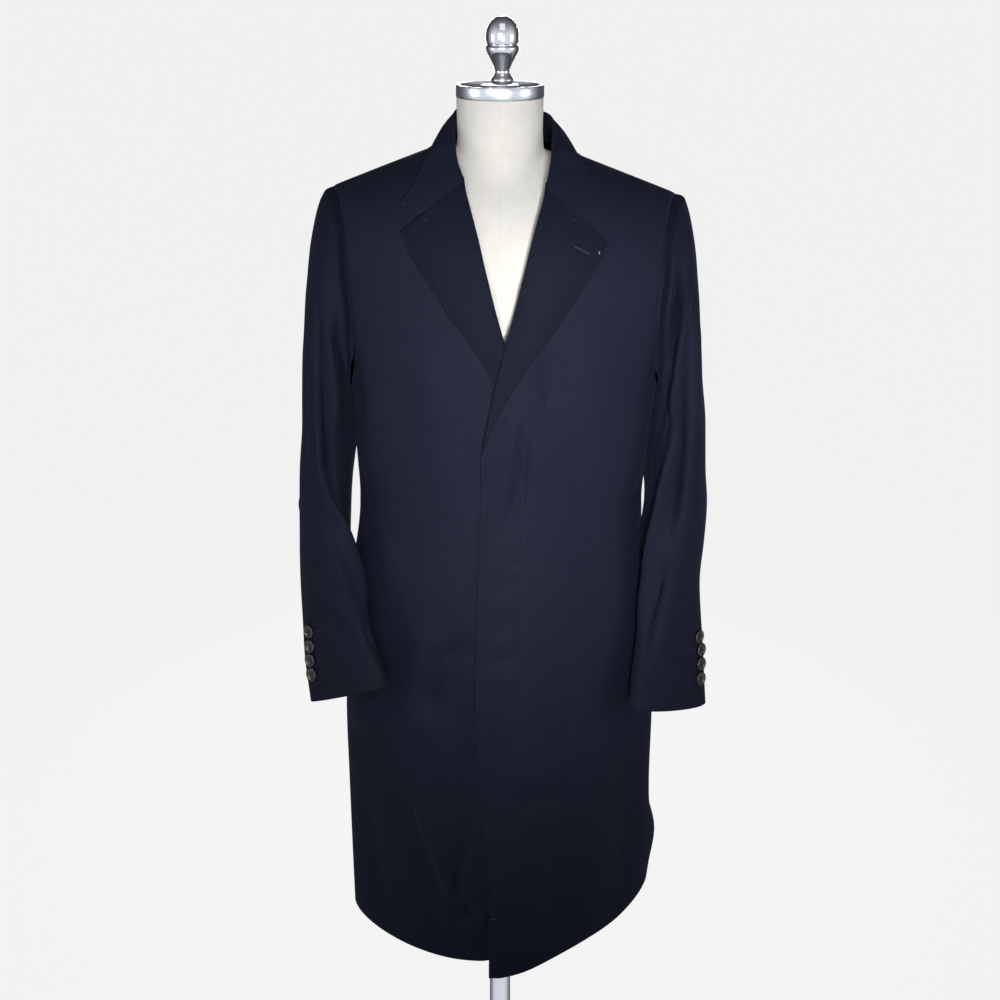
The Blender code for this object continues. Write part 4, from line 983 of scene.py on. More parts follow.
def backPanel(side):
    level, share = panelLevels()
    turns = np.linspace(np.pi, quarter, panelSettings["samples"]["back"])
    run = girths(level, turns)
    end = np.pi - armholeTurn(share, "back")
    edge = np.array(panelSettings["backEdge"])
    rows = []
    for each, last in enumerate(end):
        finish = np.interp(np.pi - last, np.pi - turns, run[each])
        far = np.linspace(edge[-1], finish - edge[-1], panelSettings["backColumns"])[1:]
        rows.append(np.concatenate([edge, far, finish - edge[::-1][1:]]))
    girth = np.array(rows)
    turn = turnsAt(girth, run, turns)
    row = lowered(side, turn, level[:, None])
    kind = float(read(bodyRings, "backRound", coat["chestTop"]))
    half = float(read(bodyRings, "halfWidth", coat["chestTop"]))
    top = backNeckLevel(half * signedPower(np.sin(turn[-1]), 2 / kind))
    ceiling = coat["chestTop"] + coat["arch"]
    above = np.clip((row - coat["underarm"]) / (ceiling - coat["underarm"]), 0, 1)
    row = row - above * (ceiling - top)[None, :]
    height = shape(turn, row)[..., 2]
    plain = body(side, turn, row)
    toSeam = girth[:, -1:] - girth
    relief = foldRelief(np.stack([girth, height], axis=-1), backFolds[side])
    relief = relief * ease(toSeam / panelSettings["foldsEnd"]) * ease(girth / panelSettings["foldsEnd"])
    relief = relief + seamRelief(girth) + seamRelief(toSeam) + seamRelief(toTop(plain))
    grid = body(side, turn, row, relief)
    closeUp(grid, ((0, 1), (-1, -2)))
    flat = np.stack([girth * side, lengthsAlong(plain, 0)], axis=-1)
    return grid, outward(side, turn, row), flat


seamInside = {
    "half": 0.010,  # its reach to each side of the seam
    "columns": 9,
    "samples": 900,
    "wall": 0.0011,
    "clear": 0.0006,
    "aboveHem": 0.003,
    "belowArm": 0.005,
}


def pressedSeam(side):
    # the side seam's turnings, pressed open against the inside of the cloth
    level = panelLevels()[0]
    low, high = coat["hem"] + seamInside["aboveHem"], coat["underarm"] - seamInside["belowArm"]
    level = level[(level > low) & (level < high)]
    turns = np.linspace(0.0, np.pi, seamInside["samples"])
    run = girths(level, turns)
    away = np.linspace(-1, 1, seamInside["columns"]) * seamInside["half"]
    girth = np.array([np.interp(quarter, turns, each) + away for each in run])
    turn = turnsAt(girth, run, turns)
    row = lowered(side, turn, level[:, None])
    sunk = seamRelief(np.abs(away))[None, :] - clothSettings["wall"] - seamInside["clear"]
    return body(side, turn, row, sunk + 0 * turn), outward(side, turn, row)


sideNames = {1: "left", -1: "right"}
fronts = {}
for side, sideName in sideNames.items():
    grid, normals, flat = frontPanel(side)
    fronts[side] = (grid, normals)
    name = f"front_{sideName}"
    piece = clothShell(f"{name}_cloth", grid, normals, wool, [name], (1, "", 1, ""), flat=flat)
    grid, normals, flat = backPanel(side)
    name = f"back_{sideName}"
    piece = clothShell(f"{name}_cloth", grid, normals, wool, [name], (1, "", "", ""), flat=flat)
    grid, normals = pressedSeam(side)
    piece = clothShell(f"side_seam_{sideName}_inside", grid, normals, wool, [], wall=seamInside["wall"])
print("body panels made")


lapels = {
    "notch": {1: (0.0995, 1.4358), -1: (0.0990, 1.4376)},
    "tip": {1: (0.1300, 1.4100), -1: (0.1300, 1.4159)},
    "collarTip": {1: (0.1290, 1.4462), -1: (0.1309, 1.4504)},
    "edgeSwell": 0.00020,
    "edgeGroove": 0.00028,
    "edgeStitch": 0.0025,
    "foot": 1.150,
    "wall": 0.0019,
    "lift": layer + 0.0006,
    "rollLift": 0.004,
    "liftPower": 0.8,
    "bendPower": 6,
    "edgeShare": 0.45,  # the most of its width that the finer columns by the edge and the roll take
    "rollShare": 0.3,
    "freeFrom": 0.002,  # outside the notch the top edge is free from here
    "least": 0.003,
    "rolled": 0.05,
    "coverReach": 0.02,
    "rows": 120,
    "columns": 30,
    "wrapRadius": 0.00245,
    "wrapInside": 0.0014,
    "wrapSteps": 9,
    "tuck": 0.010,  # how far the roll's end runs up under the collar
    "tuckFrom": 0.97,
    "tuckReach": 0.03,
    "gorgeGap": 0.0001,
}
lapelEdge = {
    "columns": ("height", "across"),
    "rows": (
        (1.137, -0.0255),
        (1.171, -0.0165),
        (1.217, 0.0052),
        (1.2725, 0.0390),
        (1.314, 0.0697),
        (1.348, 0.0920),
        (1.391, 0.1190),
        (1.4142, 0.1300),
    ),
}


def gorgeLine(side, across, tip):
    inner = float(read(rollLine, "across", neckline["gorge"]))
    notch = lapels["notch"][side]
    return np.interp(across, (inner, notch[0], tip[0]), (neckline["gorge"], notch[1], tip[1]))


def lapelGrid(side):
    gap = lapels["gorgeGap"]
    tip = lapels["tip"][side]
    share = np.linspace(0, 1, lapels["rows"] + 1)
    rollHeight = lapels["foot"] + (neckline["gorge"] - gap - lapels["foot"]) * share
    edgeHeight = lapels["foot"] + (tip[1] - gap - lapels["foot"]) * share
    roll = read(rollLine, "across", rollHeight)
    edge = np.maximum(read(lapelEdge, "across", edgeHeight), roll + lapels["least"])
    width = (edge - roll)[:, None]
    fromEdge = np.array(panelSettings["edgeColumns"])[::-1]
    most = np.linspace(lapels["edgeShare"], 0, len(fromEdge))[None, :]
    fromEdge = np.minimum(fromEdge[None, :], width * most)
    inside = np.minimum(lapels["wrapInside"], width * lapels["rollShare"])
    plain = np.linspace(0, 1, lapels["columns"] + 1)[None, :-1]
    away = np.concatenate([inside + (width - fromEdge[:, :1] - inside) * plain, width - fromEdge], axis=1)
    part = away / width
    across = roll[:, None] + away
    height = rollHeight[:, None] + (edgeHeight - rollHeight)[:, None] * part
    bend = gorgeLine(side, across[-1], tip) - gap - height[-1]
    height = height + bend[None, :] * share[:, None] ** lapels["bendPower"]
    lift = lapels["rollLift"] * np.sin(np.pi * part) ** lapels["liftPower"]
    lift = lift * np.clip(width / lapels["rolled"], 0, 1)
    if side < 0:
        covered = (across + read(rollLine, "across", height)) / lapels["coverReach"]
        lift = lift * ease(covered)
    turn, level = find(across, height)
    relief = edgeRelief(width - away, lapels)
    out = overLayers(side, across, height) + lapels["lift"] + lift + relief
    face = body(side, turn, level, out)
    normals = outward(side, turn, level)
    # the roll: half a turn of cloth round the front's edge
    angle = np.radians(np.linspace(-90, 90, lapels["wrapSteps"] + 1))[:-1]
    first = face[:, :1]
    opening = unit(first - face[:, 1:2])
    up = normals[:, :1]
    opening = unit(opening - up * np.sum(opening * up, axis=-1, keepdims=True))
    middle = first - up * lapels["wrapRadius"]
    turned = up * np.sin(angle)[None, :, None] + opening * np.cos(angle)[None, :, None]
    wrap = middle + turned * lapels["wrapRadius"]
    tuck = lapels["tuck"] * ease((share - lapels["tuckFrom"]) / lapels["tuckReach"])
    wrap[..., 2] += tuck[:, None] * np.clip(0.9 - angle / 2.0, 0, 1)  # less towards the face
    grid = np.concatenate([wrap, face], axis=1)
    normals = np.concatenate([turned, normals], axis=1)
    return grid, normals, across[-1]


lapelGrids = {}
for side, sideName in sideNames.items():
    grid, normals, across = lapelGrid(side)
    lapelGrids[side] = (grid, normals)
    free = np.zeros(grid.shape[1])
    free[-len(across):] = across > lapels["notch"][side][0] + lapels["freeFrom"]
    flat = np.stack([grid[..., 0], grid[..., 2]], axis=-1)
    # the lapel cloth is darkened with painted shade
    finish = woolLapelLeftPaintedShade if side > 0 else woolLapelRightPaintedShade
    name = f"lapel_{sideName}"
    edges = (1, free, "", 1)
    piece = clothShell(f"{name}_cloth", grid, normals, finish, [name], edges, lapels["wall"], flat)
print("lapels made")


collar = {
    "foldLean": 0.0015,
    "leanReach": 0.12,
    "foldTurn": 0.9,  # how much of its depth turns the fold's direction, and a little more to the back
    "foldBack": 0.004,
    "fallLength": 0.075,
    "foldRadius": 0.0026,
    "bulge": 0.004,
    "lift": layer + 0.0011,
    "sideOfNeck": 0.34,
    "footClear": 0.0037,
    "gorgeReach": 0.34,
    "dropPower": 1.5,
    "gorgeGap": 0.0001,
    "freeFrom": 0.004,
    "steps": 60,
    "stepPower": 1.15,  # closer together in front
    "standSteps": 6,
    "arcSteps": 8,
    "fallSteps": 20,
}
collarFold = {
    "columns": ("share", "across", "deep", "height"),
    "rows": (
        (0.00, 0.0545, -0.0920, 1.4795),
        (0.15, 0.0612, -0.0620, 1.5070),
        (0.30, 0.0640, -0.0300, 1.5300),
        (0.45, 0.0645, 0.0030, 1.5445),
        (0.65, 0.0570, 0.0400, 1.5540),
        (0.85, 0.0310, 0.0640, 1.5550),
        (1.00, 0.0000, 0.0710, 1.5540),
    ),
}
fallEdge = {
    "columns": ("share", "across", "over"),
    "rows": (
        (0.00, 0.1290, 39.0),
        (0.15, 0.1160, 49.0),
        (0.30, 0.1030, 65.0),
        (0.45, 0.0900, 88.0),
        (0.65, 0.0780, 113.0),
        (0.85, 0.0430, 130.0),
        (1.00, 0.0000, 134.0),
    ),
}


def overShoulder(across, degrees, out):
    back = degrees > 90
    over = 180 - degrees if back else degrees
    turn, _ = find(np.array(across), np.array(coat["chestTop"]), back)
    level = np.array(coat["chestTop"] + coat["arch"] * over / 90)
    return shape(turn, level) + shapeNormal(turn, level) * out


def clearOfCoat(points, out):
    # moves each point out until it lies this far outside the coat
    points = points.copy()
    for _ in range(3):
        back = points[..., 1] > 0
        frontPlace = find(points[..., 0], points[..., 2])
        backPlace = find(points[..., 0], points[..., 2], True)
        turn, level = (np.where(back, b, f) for f, b in zip(frontPlace, backPlace))
        base, normal = shape(turn, level), shapeNormal(turn, level)
        inside = np.abs(points[..., 1]) < np.abs(base[..., 1])
        points[..., 1] = np.where(inside, base[..., 1], points[..., 1])
        short = np.maximum(0.0, out - np.sum((points - base) * normal, axis=-1))
        points = points + normal * short[..., None]
    return points


def neckEdge(share):
    if share <= collar["sideOfNeck"]:
        height = neckline["gorge"] + (neckline["point"] - neckline["gorge"]) * share / collar["sideOfNeck"]
        turn, level = find(np.array(neckSeam(height)), np.array(height))
        away = np.array([-1.0, 0.0, 1.0])
    else:
        part = (share - collar["sideOfNeck"]) / (1 - collar["sideOfNeck"])
        across = neckSeam(neckline["point"]) * math.cos(part * quarter)
        level = np.array(backNeckLevel(across))
        turn, _ = find(np.array(across), np.array(coat["chestTop"]), back=True)
        away = np.array([0.0, 0.0, 1.0])
    inner = shape(turn, level) - shapeNormal(turn, level) * clothSettings["wall"]
    return inner + away * collar["footClear"]


def foldAndEdge(share):
    fold = np.array([read(collarFold, name, share) for name in ("across", "deep", "height")])
    across, over = float(read(fallEdge, "across", share)), float(read(fallEdge, "over", share))
    return fold, overShoulder(across, over, collar["lift"])


def foldOutwards(fold, share):
    return unit(np.array([fold[0], fold[1] * collar["foldTurn"] + collar["foldBack"] * share, 0.0]))


def fallPoints(fold, edge, share, parts):
    start = fold + foldOutwards(fold, share) * collar["foldRadius"]
    straight = edge - start
    bulge = unit(np.cross(np.cross(straight, [0.0, 0.0, 1.0]), straight))
    part = parts[:, None]
    return start + straight * part + bulge * collar["bulge"] * np.sin(np.pi * part)


def fallParts():
    near = 1 - np.array(panelSettings["edgeColumns"])[::-1] / collar["fallLength"]
    return np.concatenate([np.linspace(0, near[0], collar["fallSteps"])[:-1], near])


fallStops = fallParts()
gorgeFall = fallPoints(*foldAndEdge(0.0), 0.0, fallStops)


def gorgeDrop(side):
    meets = gorgeLine(side, gorgeFall[:, 0], lapels["collarTip"][side])
    return meets + collar["gorgeGap"] - gorgeFall[:, 2]


def collarSection(share, side):
    # from the stand's foot, over the fold, down to the fall's edge
    fold, edge = foldAndEdge(share)
    if share < 1:
        fold[0] -= collar["foldLean"] * (1 + (side - 1) * float(ease(share / collar["leanReach"])))
    foot = neckEdge(share)
    outwards = foldOutwards(fold, share)
    standTop = fold - outwards * collar["foldRadius"]
    stand = [foot + (standTop - foot) * t for t in np.linspace(0, 1, collar["standSteps"])]
    for turn in np.radians(np.linspace(180, 0, collar["arcSteps"] + 1))[1:-1]:
        arc = outwards * math.cos(turn) + np.array([0.0, 0.0, math.sin(turn)])
        stand.append(fold + arc * collar["foldRadius"])
    fall = fallPoints(fold, edge, share, fallStops)
    fade = max(0.0, 1 - share / collar["gorgeReach"]) ** collar["dropPower"]
    fall[:, 2] += gorgeDrop(side) * fade
    return np.array(stand), fall, np.linalg.norm(edge - fold) * (1 - fallStops)


def makeCollar():
    shares = np.linspace(0, 1, collar["steps"] + 1) ** collar["stepPower"]
    halves = {}
    for side in (1, -1):
        sections = [collarSection(share, side) for share in shares]
        stand, fall, fromEdge = (np.array(part) for part in zip(*sections))
        fall = clearOfCoat(fall, collar["lift"] + edgeRelief(fromEdge, lapels))
        halves[side] = place(side, np.concatenate([stand, fall], axis=1))
    grid = np.concatenate([halves[1], halves[-1][:-1][::-1]])
    free = (np.abs(grid[0, :, 0]) > lapels["notch"][1][0] + collar["freeFrom"]).astype(float)
    flat = np.stack([lengthsAlong(grid, 0), lengthsAlong(grid, 1)], axis=-1)
    normals = gridNormals(grid)
    piece = clothShell("collar_cloth", grid, normals, woolCollar, ["collar"], (free, free, "", 1), flat=flat)
    return grid, normals


collarGrid, collarNormals = makeCollar()
print("collar made")


sleeves = {
    "shift": 0.003,
    "kept": 4,  # rings that still follow the armhole's edge
    "backSeam": 0.0,
    "frontSeam": 234.0,
    "columnStep": 1.75,
    "capRows": 12,
    "capPower": 1.4,
    "rows": 150,
    "seamColumn": 1.2,  # degrees from a seam to the columns beside it
    "lastRow": 0.14,  # steps that the main rows stop short of the cuff's end
    "stepLength": 0.052,
    "ropeOut": 0.0016,  # the soft roll beside the armhole's seam
    "ropeAway": 0.009,
    "ropeWide": 0.006,
    "foldsStart": 0.026,
    "fullStart": 0.008,
    "armholeDeep": 0.0092,
    "armholeWide": 0.0064,
    "grooveEnd": 242.0,
    "grooveFade": 34.0,
    "cuffRows": (0.0, 0.0012, 0.0025, 0.0042, 0.0065),
    "insideReach": 42.0,  # degrees either way of the side towards the body
}
sleeveFull = {
    1: {
        "columns": ("height", "out"),
        "rows": ((0.90, 0.0), (0.94, 0.0030), (1.01, 0.0042), (1.04, 0.0014), (1.06, 0.0016), (1.09, 0.0062),
                 (1.16, 0.0078), (1.22, 0.0075), (1.27, 0.0)),
    },
    -1: {
        "columns": ("height", "out"),
        "rows": ((0.91, 0.0), (0.96, 0.0022), (1.00, 0.0032), (1.08, 0.0026), (1.14, 0.0066), (1.18, 0.0092),
                 (1.23, 0.0088), (1.27, 0.0)),
    },
}
cuffs = {
    "from": 0.950,
    "reach": 0.120,
    # how far up at a distance from the middle, its change per metre across, and that distance
    "lift": {1: (0.0044, 0.0, 0.227), -1: (0.0046, 0.072, 0.270)},
    "widen": {1: (1.08, 0.227), -1: (1.0, 0.205)},  # times wider, and about which distance
}
sleeveColumns = ("step", "across", "deep", "height", "thick", "wide", "tilt", "pitch", "twist")
sleeveCap = (
    (0, 0.2123, -0.002, 1.3290, 0.1290, 0.070, 84.6, 0, 0),
    (1, 0.2215, -0.002, 1.3200, 0.1240, 0.072, 82.0, 0, 0),
    (2, 0.2285, -0.002, 1.2930, 0.1026, 0.075, 77.0, 0, 0),
)
sleeveRings = {
    1: {
        "columns": sleeveColumns,
        "rows": sleeveCap + (
            (3, 0.2325, -0.002, 1.2605, 0.0771, 0.078, 70.0, 0, 0),
            (4, 0.2350, -0.002, 1.2260, 0.0541, 0.080, 58.0, 1, 0),
            (5, 0.2359, -0.003, 1.1872, 0.0399, 0.080, 37.0, 3, 0),
            (6, 0.2374, -0.003, 1.1415, 0.0374, 0.0795, 12.0, 4, 0),
            (7, 0.2362, -0.004, 1.0850, 0.0401, 0.078, 0.0, 6, 0),
            (8, 0.2374, -0.0117, 1.0350, 0.0423, 0.076, 0, 11, 5),
            (9, 0.2352, -0.0241, 0.9850, 0.0403, 0.0745, 0, 16.5, 12),
            (10, 0.2350, -0.0400, 0.9320, 0.0315, 0.0735, 0, 17, 19),
            (11, 0.2305, -0.0560, 0.8780, 0.0300, 0.0725, 0, 17, 28),
            (12, 0.2280, -0.0720, 0.8230, 0.0275, 0.0715, 0, 17, 37),
            (13, 0.2268, -0.0895, 0.7640, 0.0245, 0.0705, 0, 17, 44),
        ),
    },
    -1: {
        "columns": sleeveColumns,
        "rows": sleeveCap + (
            (3, 0.2310, -0.002, 1.2564, 0.0815, 0.078, 70.0, 0, 0),
            (4, 0.2330, -0.002, 1.2226, 0.0581, 0.080, 58.0, 1, 0),
            (5, 0.2345, -0.003, 1.1862, 0.0416, 0.080, 37.0, 3, 0),
            (6, 0.2351, -0.003, 1.1415, 0.0354, 0.0795, 12.0, 4, 0),
            (7, 0.2399, -0.004, 1.0850, 0.0350, 0.078, 0.0, 6, 0),
            (8, 0.2425, -0.0149, 1.0350, 0.0340, 0.076, 0, 18, 5),
            (9, 0.2425, -0.0368, 0.9850, 0.0325, 0.0745, 0, 28, 12),
            (10, 0.2385, -0.0590, 0.9440, 0.0310, 0.0735, 0, 29, 20),
            (11, 0.2300, -0.0830, 0.9010, 0.0295, 0.0730, 0, 30, 29),
            (12, 0.2180, -0.1090, 0.8530, 0.0270, 0.0720, 0, 33, 41),
            (13, 0.2055, -0.1350, 0.8050, 0.0240, 0.0715, 0, 38, 47),
        ),
    },
}
# each fold: half width, depth, and its line of points in space
sleeveFolds = {
    1: (
        (0.0069, 0.0184, ((0.248, -0.030, 1.425), (0.238, -0.060, 1.385), (0.229, -0.072, 1.330),
                          (0.224, -0.073, 1.250), (0.220, -0.068, 1.170), (0.217, -0.066, 1.110))),
        (0.0075, -0.0135, ((0.236, -0.060, 1.360), (0.234, -0.076, 1.290), (0.232, -0.078, 1.200),
                           (0.226, -0.078, 1.130))),
        (0.0060, 0.0175, ((0.256, -0.050, 1.350), (0.251, -0.070, 1.290), (0.246, -0.080, 1.210),
                          (0.241, -0.083, 1.120), (0.234, -0.087, 1.045), (0.226, -0.096, 0.985))),
        (0.0083, -0.0046, ((0.264, -0.046, 1.320), (0.259, -0.064, 1.240), (0.254, -0.072, 1.140))),
        (0.0075, -0.0153, ((0.232, -0.080, 1.180), (0.224, -0.078, 1.110), (0.212, -0.078, 1.040),
                           (0.199, -0.092, 0.937), (0.186, -0.114, 0.850))),
        (0.0055, 0.0056, ((0.219, -0.062, 1.250), (0.216, -0.056, 1.190), (0.211, -0.054, 1.130))),
        (0.0150, 0.0049, ((0.256, -0.076, 0.925), (0.246, -0.093, 0.865), (0.240, -0.106, 0.820))),
        (0.0129, 0.0125, ((0.222, -0.098, 0.985), (0.208, -0.116, 0.910), (0.200, -0.128, 0.840))),
        (0.0074, 0.0025, ((0.262, -0.006, 1.080), (0.270, 0.020, 1.050), (0.262, 0.044, 1.030))),
        (0.0092, -0.0025, ((0.268, -0.004, 1.046), (0.272, 0.018, 1.014), (0.262, 0.038, 0.995))),
        (0.0083, 0.0027, ((0.268, -0.010, 1.010), (0.274, 0.010, 0.980), (0.264, 0.030, 0.962))),
        (0.0110, 0.0101, ((0.246, 0.060, 1.340), (0.254, 0.056, 1.260), (0.256, 0.050, 1.180))),
        (0.0110, -0.0025, ((0.258, 0.030, 1.320), (0.268, 0.030, 1.240), (0.270, 0.024, 1.150))),
    ),
    -1: (
        (0.0063, 0.0200, ((-0.240, -0.064, 1.345), (-0.236, -0.080, 1.250), (-0.232, -0.083, 1.160),
                          (-0.225, -0.076, 1.094), (-0.213, -0.078, 1.038), (-0.203, -0.074, 0.990))),
        (0.0083, -0.0135, ((-0.224, -0.076, 1.300), (-0.221, -0.080, 1.220), (-0.218, -0.076, 1.140))),
        (0.0051, 0.0060, ((-0.214, -0.072, 1.320), (-0.208, -0.064, 1.262), (-0.203, -0.036, 1.214),
                          (-0.200, -0.014, 1.179))),
        (0.0083, -0.0161, ((-0.242, -0.078, 1.150), (-0.233, -0.083, 1.078), (-0.210, -0.090, 1.005),
                           (-0.186, -0.112, 0.950), (-0.165, -0.139, 0.897))),
        (0.0064, 0.0125, ((-0.176, -0.142, 0.910), (-0.166, -0.148, 0.887), (-0.157, -0.150, 0.862))),
        (0.0110, 0.0093, ((-0.252, -0.060, 1.290), (-0.260, -0.062, 1.160), (-0.262, -0.061, 1.050))),
        (0.0132, 0.0041, ((-0.256, -0.080, 1.020), (-0.232, -0.108, 0.978), (-0.200, -0.134, 0.942))),
        (0.0130, -0.0040, ((-0.252, -0.094, 0.985), (-0.226, -0.122, 0.944), (-0.196, -0.146, 0.914))),
        (0.0121, 0.0034, ((-0.240, -0.114, 0.930), (-0.214, -0.140, 0.900), (-0.186, -0.156, 0.872))),
        (0.0074, 0.0027, ((-0.262, -0.006, 1.080), (-0.272, 0.014, 1.052), (-0.264, 0.038, 1.030))),
        (0.0092, -0.0025, ((-0.266, -0.012, 1.046), (-0.276, 0.006, 1.014), (-0.266, 0.030, 0.996))),
        (0.0083, 0.0027, ((-0.268, -0.022, 1.008), (-0.278, -0.004, 0.980), (-0.266, 0.018, 0.960))),
        (0.0110, 0.0107, ((-0.244, 0.060, 1.336), (-0.250, 0.056, 1.250), (-0.252, 0.050, 1.170))),
        (0.0110, -0.0025, ((-0.254, 0.030, 1.320), (-0.264, 0.028, 1.240), (-0.266, 0.022, 1.150))),
    ),
}


def onSleeve(grid, folds):
    # each fold's line brought onto the sleeve
    places = grid.reshape(-1, 3)
    found = []
    for width, depth, line in folds:
        line = smoothLine(line, 2)
        nearest = [places[np.argmin(np.sum((places - point) ** 2, axis=1))] for point in line]
        found.append((width, depth, smoothLine(nearest, 1)))
    return found


def sleeveRing(side, step, angle):
    rings = sleeveRings[side]
    value = {name: float(read(rings, name, step)) for name in sleeveColumns[1:]}
    tilt, pitch, twist = (math.radians(value[name]) for name in ("tilt", "pitch", "twist"))
    outer = np.array([side * math.cos(tilt), 0.0, math.sin(tilt)])
    rear = np.array([0.0, math.cos(pitch), -math.sin(pitch)])
    wide = rear * math.cos(twist) + outer * math.sin(twist)
    thick = outer * math.cos(twist) - np.array([0.0, math.sin(twist), 0.0])
    middle = np.array([sleeves["shift"] + side * value["across"], value["deep"], value["height"]])
    turn = angle[:, None]
    return middle + wide * value["wide"] * np.cos(turn) + thick * value["thick"] * np.sin(turn)


def shapeCuff(side, points):
    # sets the end of the sleeve a little up and out
    points = points.copy()
    share = ease((cuffs["from"] - points[..., 2]) / cuffs["reach"])
    lift, change, at = cuffs["lift"][side]
    widen, middle = cuffs["widen"][side]
    middle = side * middle + sleeves["shift"]
    points[..., 2] += share * (lift + change * (side * points[..., 0] - at))
    points[..., 0] += share * (widen - 1) * (points[..., 0] - middle)
    return points


def armholeRing(side, surface, angle):
    share = (1 + np.sin(angle)) / 2
    level = armholeLevel(share)
    onBack = np.cos(angle) > 0
    turn = np.where(onBack, np.pi - armholeTurn(share, "back"), armholeTurn(share, "front"))
    return surface(side, turn, level)


def sleeveGrid(side):
    seams = (sleeves["backSeam"], sleeves["frontSeam"])
    angle = np.arange(0, 360, sleeves["columnStep"])
    beside = sleeves["seamColumn"]
    extra = [seam + away for seam in seams for away in (-beside, beside)]
    angle = np.unique(np.concatenate([angle, np.array(extra) % 360]))
    angle = np.radians(angle)
    last = len(sleeveRings[side]["rows"]) - 1
    cap = np.linspace(0, 1, sleeves["capRows"] + 1) ** sleeves["capPower"]
    main = np.linspace(1, last - sleeves["lastRow"], sleeves["rows"] + 1)[1:]
    cuff = last - np.array(sleeves["cuffRows"])[::-1] / sleeves["stepLength"]
    steps = np.concatenate([cap, main, cuff])
    first = armholeRing(side, body, angle) + np.array([side * 2 * clothSettings["gap"], 0.0, 0.0])
    ellipse = sleeveRing(side, 0, angle)
    rings = []
    for step in steps:
        keep = max(0.0, 1 - step / sleeves["kept"]) ** 2
        rings.append(sleeveRing(side, step, angle) + (first - ellipse) * keep)
    grid = np.array(rings)
    wrapped = np.concatenate([grid[:, -1:], grid, grid[:, :1]], axis=1)
    normals = gridNormals(wrapped)[:, 1:-1] * side
    seam = armholeRing(side, outward, angle)
    agree = np.clip(np.sum(seam * normals[0], axis=1, keepdims=True) * 2, 0, 1)
    normals[0] = unit(seam * agree + normals[0] * (1 - agree))
    return grid, normals, np.degrees(angle)


def makeSleeves(side, sideName):
    grid, normals, degrees = sleeveGrid(side)
    down = lengthsAlong(grid, 0)
    closed = np.concatenate([grid, grid[:, :1]], axis=1)
    around = lengthsAlong(closed, 1)
    girth = around[:, -1:]
    around = around[:, :-1]
    frontSeam = np.argmin(np.abs(degrees - sleeves["frontSeam"]))
    fromBack = np.minimum(around, girth - around)
    fromFront = np.abs(around - around[:, frontSeam:frontSeam + 1])
    inside = hump(degrees, 270.0, sleeves["insideReach"])[None, :]
    full = read(sleeveFull[side], "out", grid[..., 2])
    relief = foldRelief(grid, onSleeve(grid, sleeveFolds[side])) * ease(down / sleeves["foldsStart"])
    relief = relief + inside * full * ease(down / sleeves["fullStart"])
    angle = np.radians(degrees)
    rope = sleeves["ropeOut"] * hump(down, sleeves["ropeAway"], sleeves["ropeWide"])
    rope = rope * ease(np.sin(angle) * 2 + 0.4)[None, :]  # on the shoulder's half
    inFront = ease((sleeves["grooveEnd"] - degrees) / sleeves["grooveFade"])
    inFront = inFront * ease(0.25 - 1.4 * np.cos(angle))  # not on the back
    groove = sleeves["armholeDeep"] * hump(down, 0.0, sleeves["armholeWide"]) * inFront
    relief = relief + rope - groove + seamRelief(down) + seamRelief(fromBack) + seamRelief(fromFront)
    grid = shapeCuff(side, grid + normals * relief[..., None])
    count = len(degrees)
    top = list(range(0, frontSeam + 1))
    under = [k % count for k in range(frontSeam, count + 1)]
    gap = clothSettings["gap"]
    for part, columns in (("top", top), ("under", under)):
        part3d = grid[:, columns].copy()
        part3d[:, 0] += unit(part3d[:, 1] - part3d[:, 0]) * gap
        part3d[:, -1] += unit(part3d[:, -2] - part3d[:, -1]) * gap
        across = around[:, columns]
        if part == "under":
            across = np.concatenate([across[:, :-1], girth], axis=1)
        flat = np.stack([(across - across.mean(axis=1, keepdims=True)) * side, -down[:, columns]], axis=-1)
        name = f"sleeve_{part}_{sideName}"
        # the sleeve cloth is darkened with painted shade
        clothShell(
            f"{name}_cloth", part3d, normals[:, columns], woolSleevePaintedShade, [name], ("", 1, "", ""), flat=flat
        )
    return grid, normals


sleeveGrids = {}
for side, sideName in sideNames.items():
    sleeveGrids[side] = makeSleeves(side, sideName)
print("sleeves made")


welts = {
    "from": {1: (53.0, 0.973), -1: (52.0, 0.985)},  # degrees round the body, and height
    "to": {1: (79.0, 0.999), -1: (77.0, 1.014)},
    "high": 0.010,
    "out": 0.0010,
    "puff": 0.0007,
    "wall": 0.0010,
    "rows": 8,
    "columns": 36,
}


def makeWelt(side, sideName):
    part = np.linspace(0, 1, welts["columns"] + 1)[None, :]
    up = np.linspace(0, 1, welts["rows"] + 1)[:, None]
    (fromTurn, fromLevel), (toTurn, toLevel) = welts["from"][side], welts["to"][side]
    turn = np.radians(fromTurn + (toTurn - fromTurn) * part) + 0 * up
    level = fromLevel + (toLevel - fromLevel) * part + up * welts["high"]
    out = welts["out"] + welts["puff"] * np.sin(np.pi * np.clip(up * 1.1, 0, 1)) + 0 * part
    row = lowered(side, turn, level)
    grid = body(side, turn, row, out)
    normals = outward(side, turn, row)
    name = f"pocket_welt_{sideName}"
    piece = clothShell(f"{name}_cloth", grid, normals, wool, [name], (1, 1, 1, 1), wall=welts["wall"])


for side, sideName in sideNames.items():
    makeWelt(side, sideName)
print("welts made")


stitching = {
    "length": 0.0026,
    "gap": 0.0009,
    "radius": 0.00030,
    "proud": 0.00010,
    "pickLength": 0.0012,
    "pickGap": 0.0024,
    "pickRadius": 0.00017,
    "pickRow": 8,
    "pickNotch": 0.008,
    "nearest": 6,  # points of a grid that share in a place on it
    # share of a stitch's length, and of its radius
    "rings": ((0.0, 0.35), (0.14, 0.85), (0.5, 1.0), (0.86, 0.85), (1.0, 0.35)),
    "sides": 6,
}
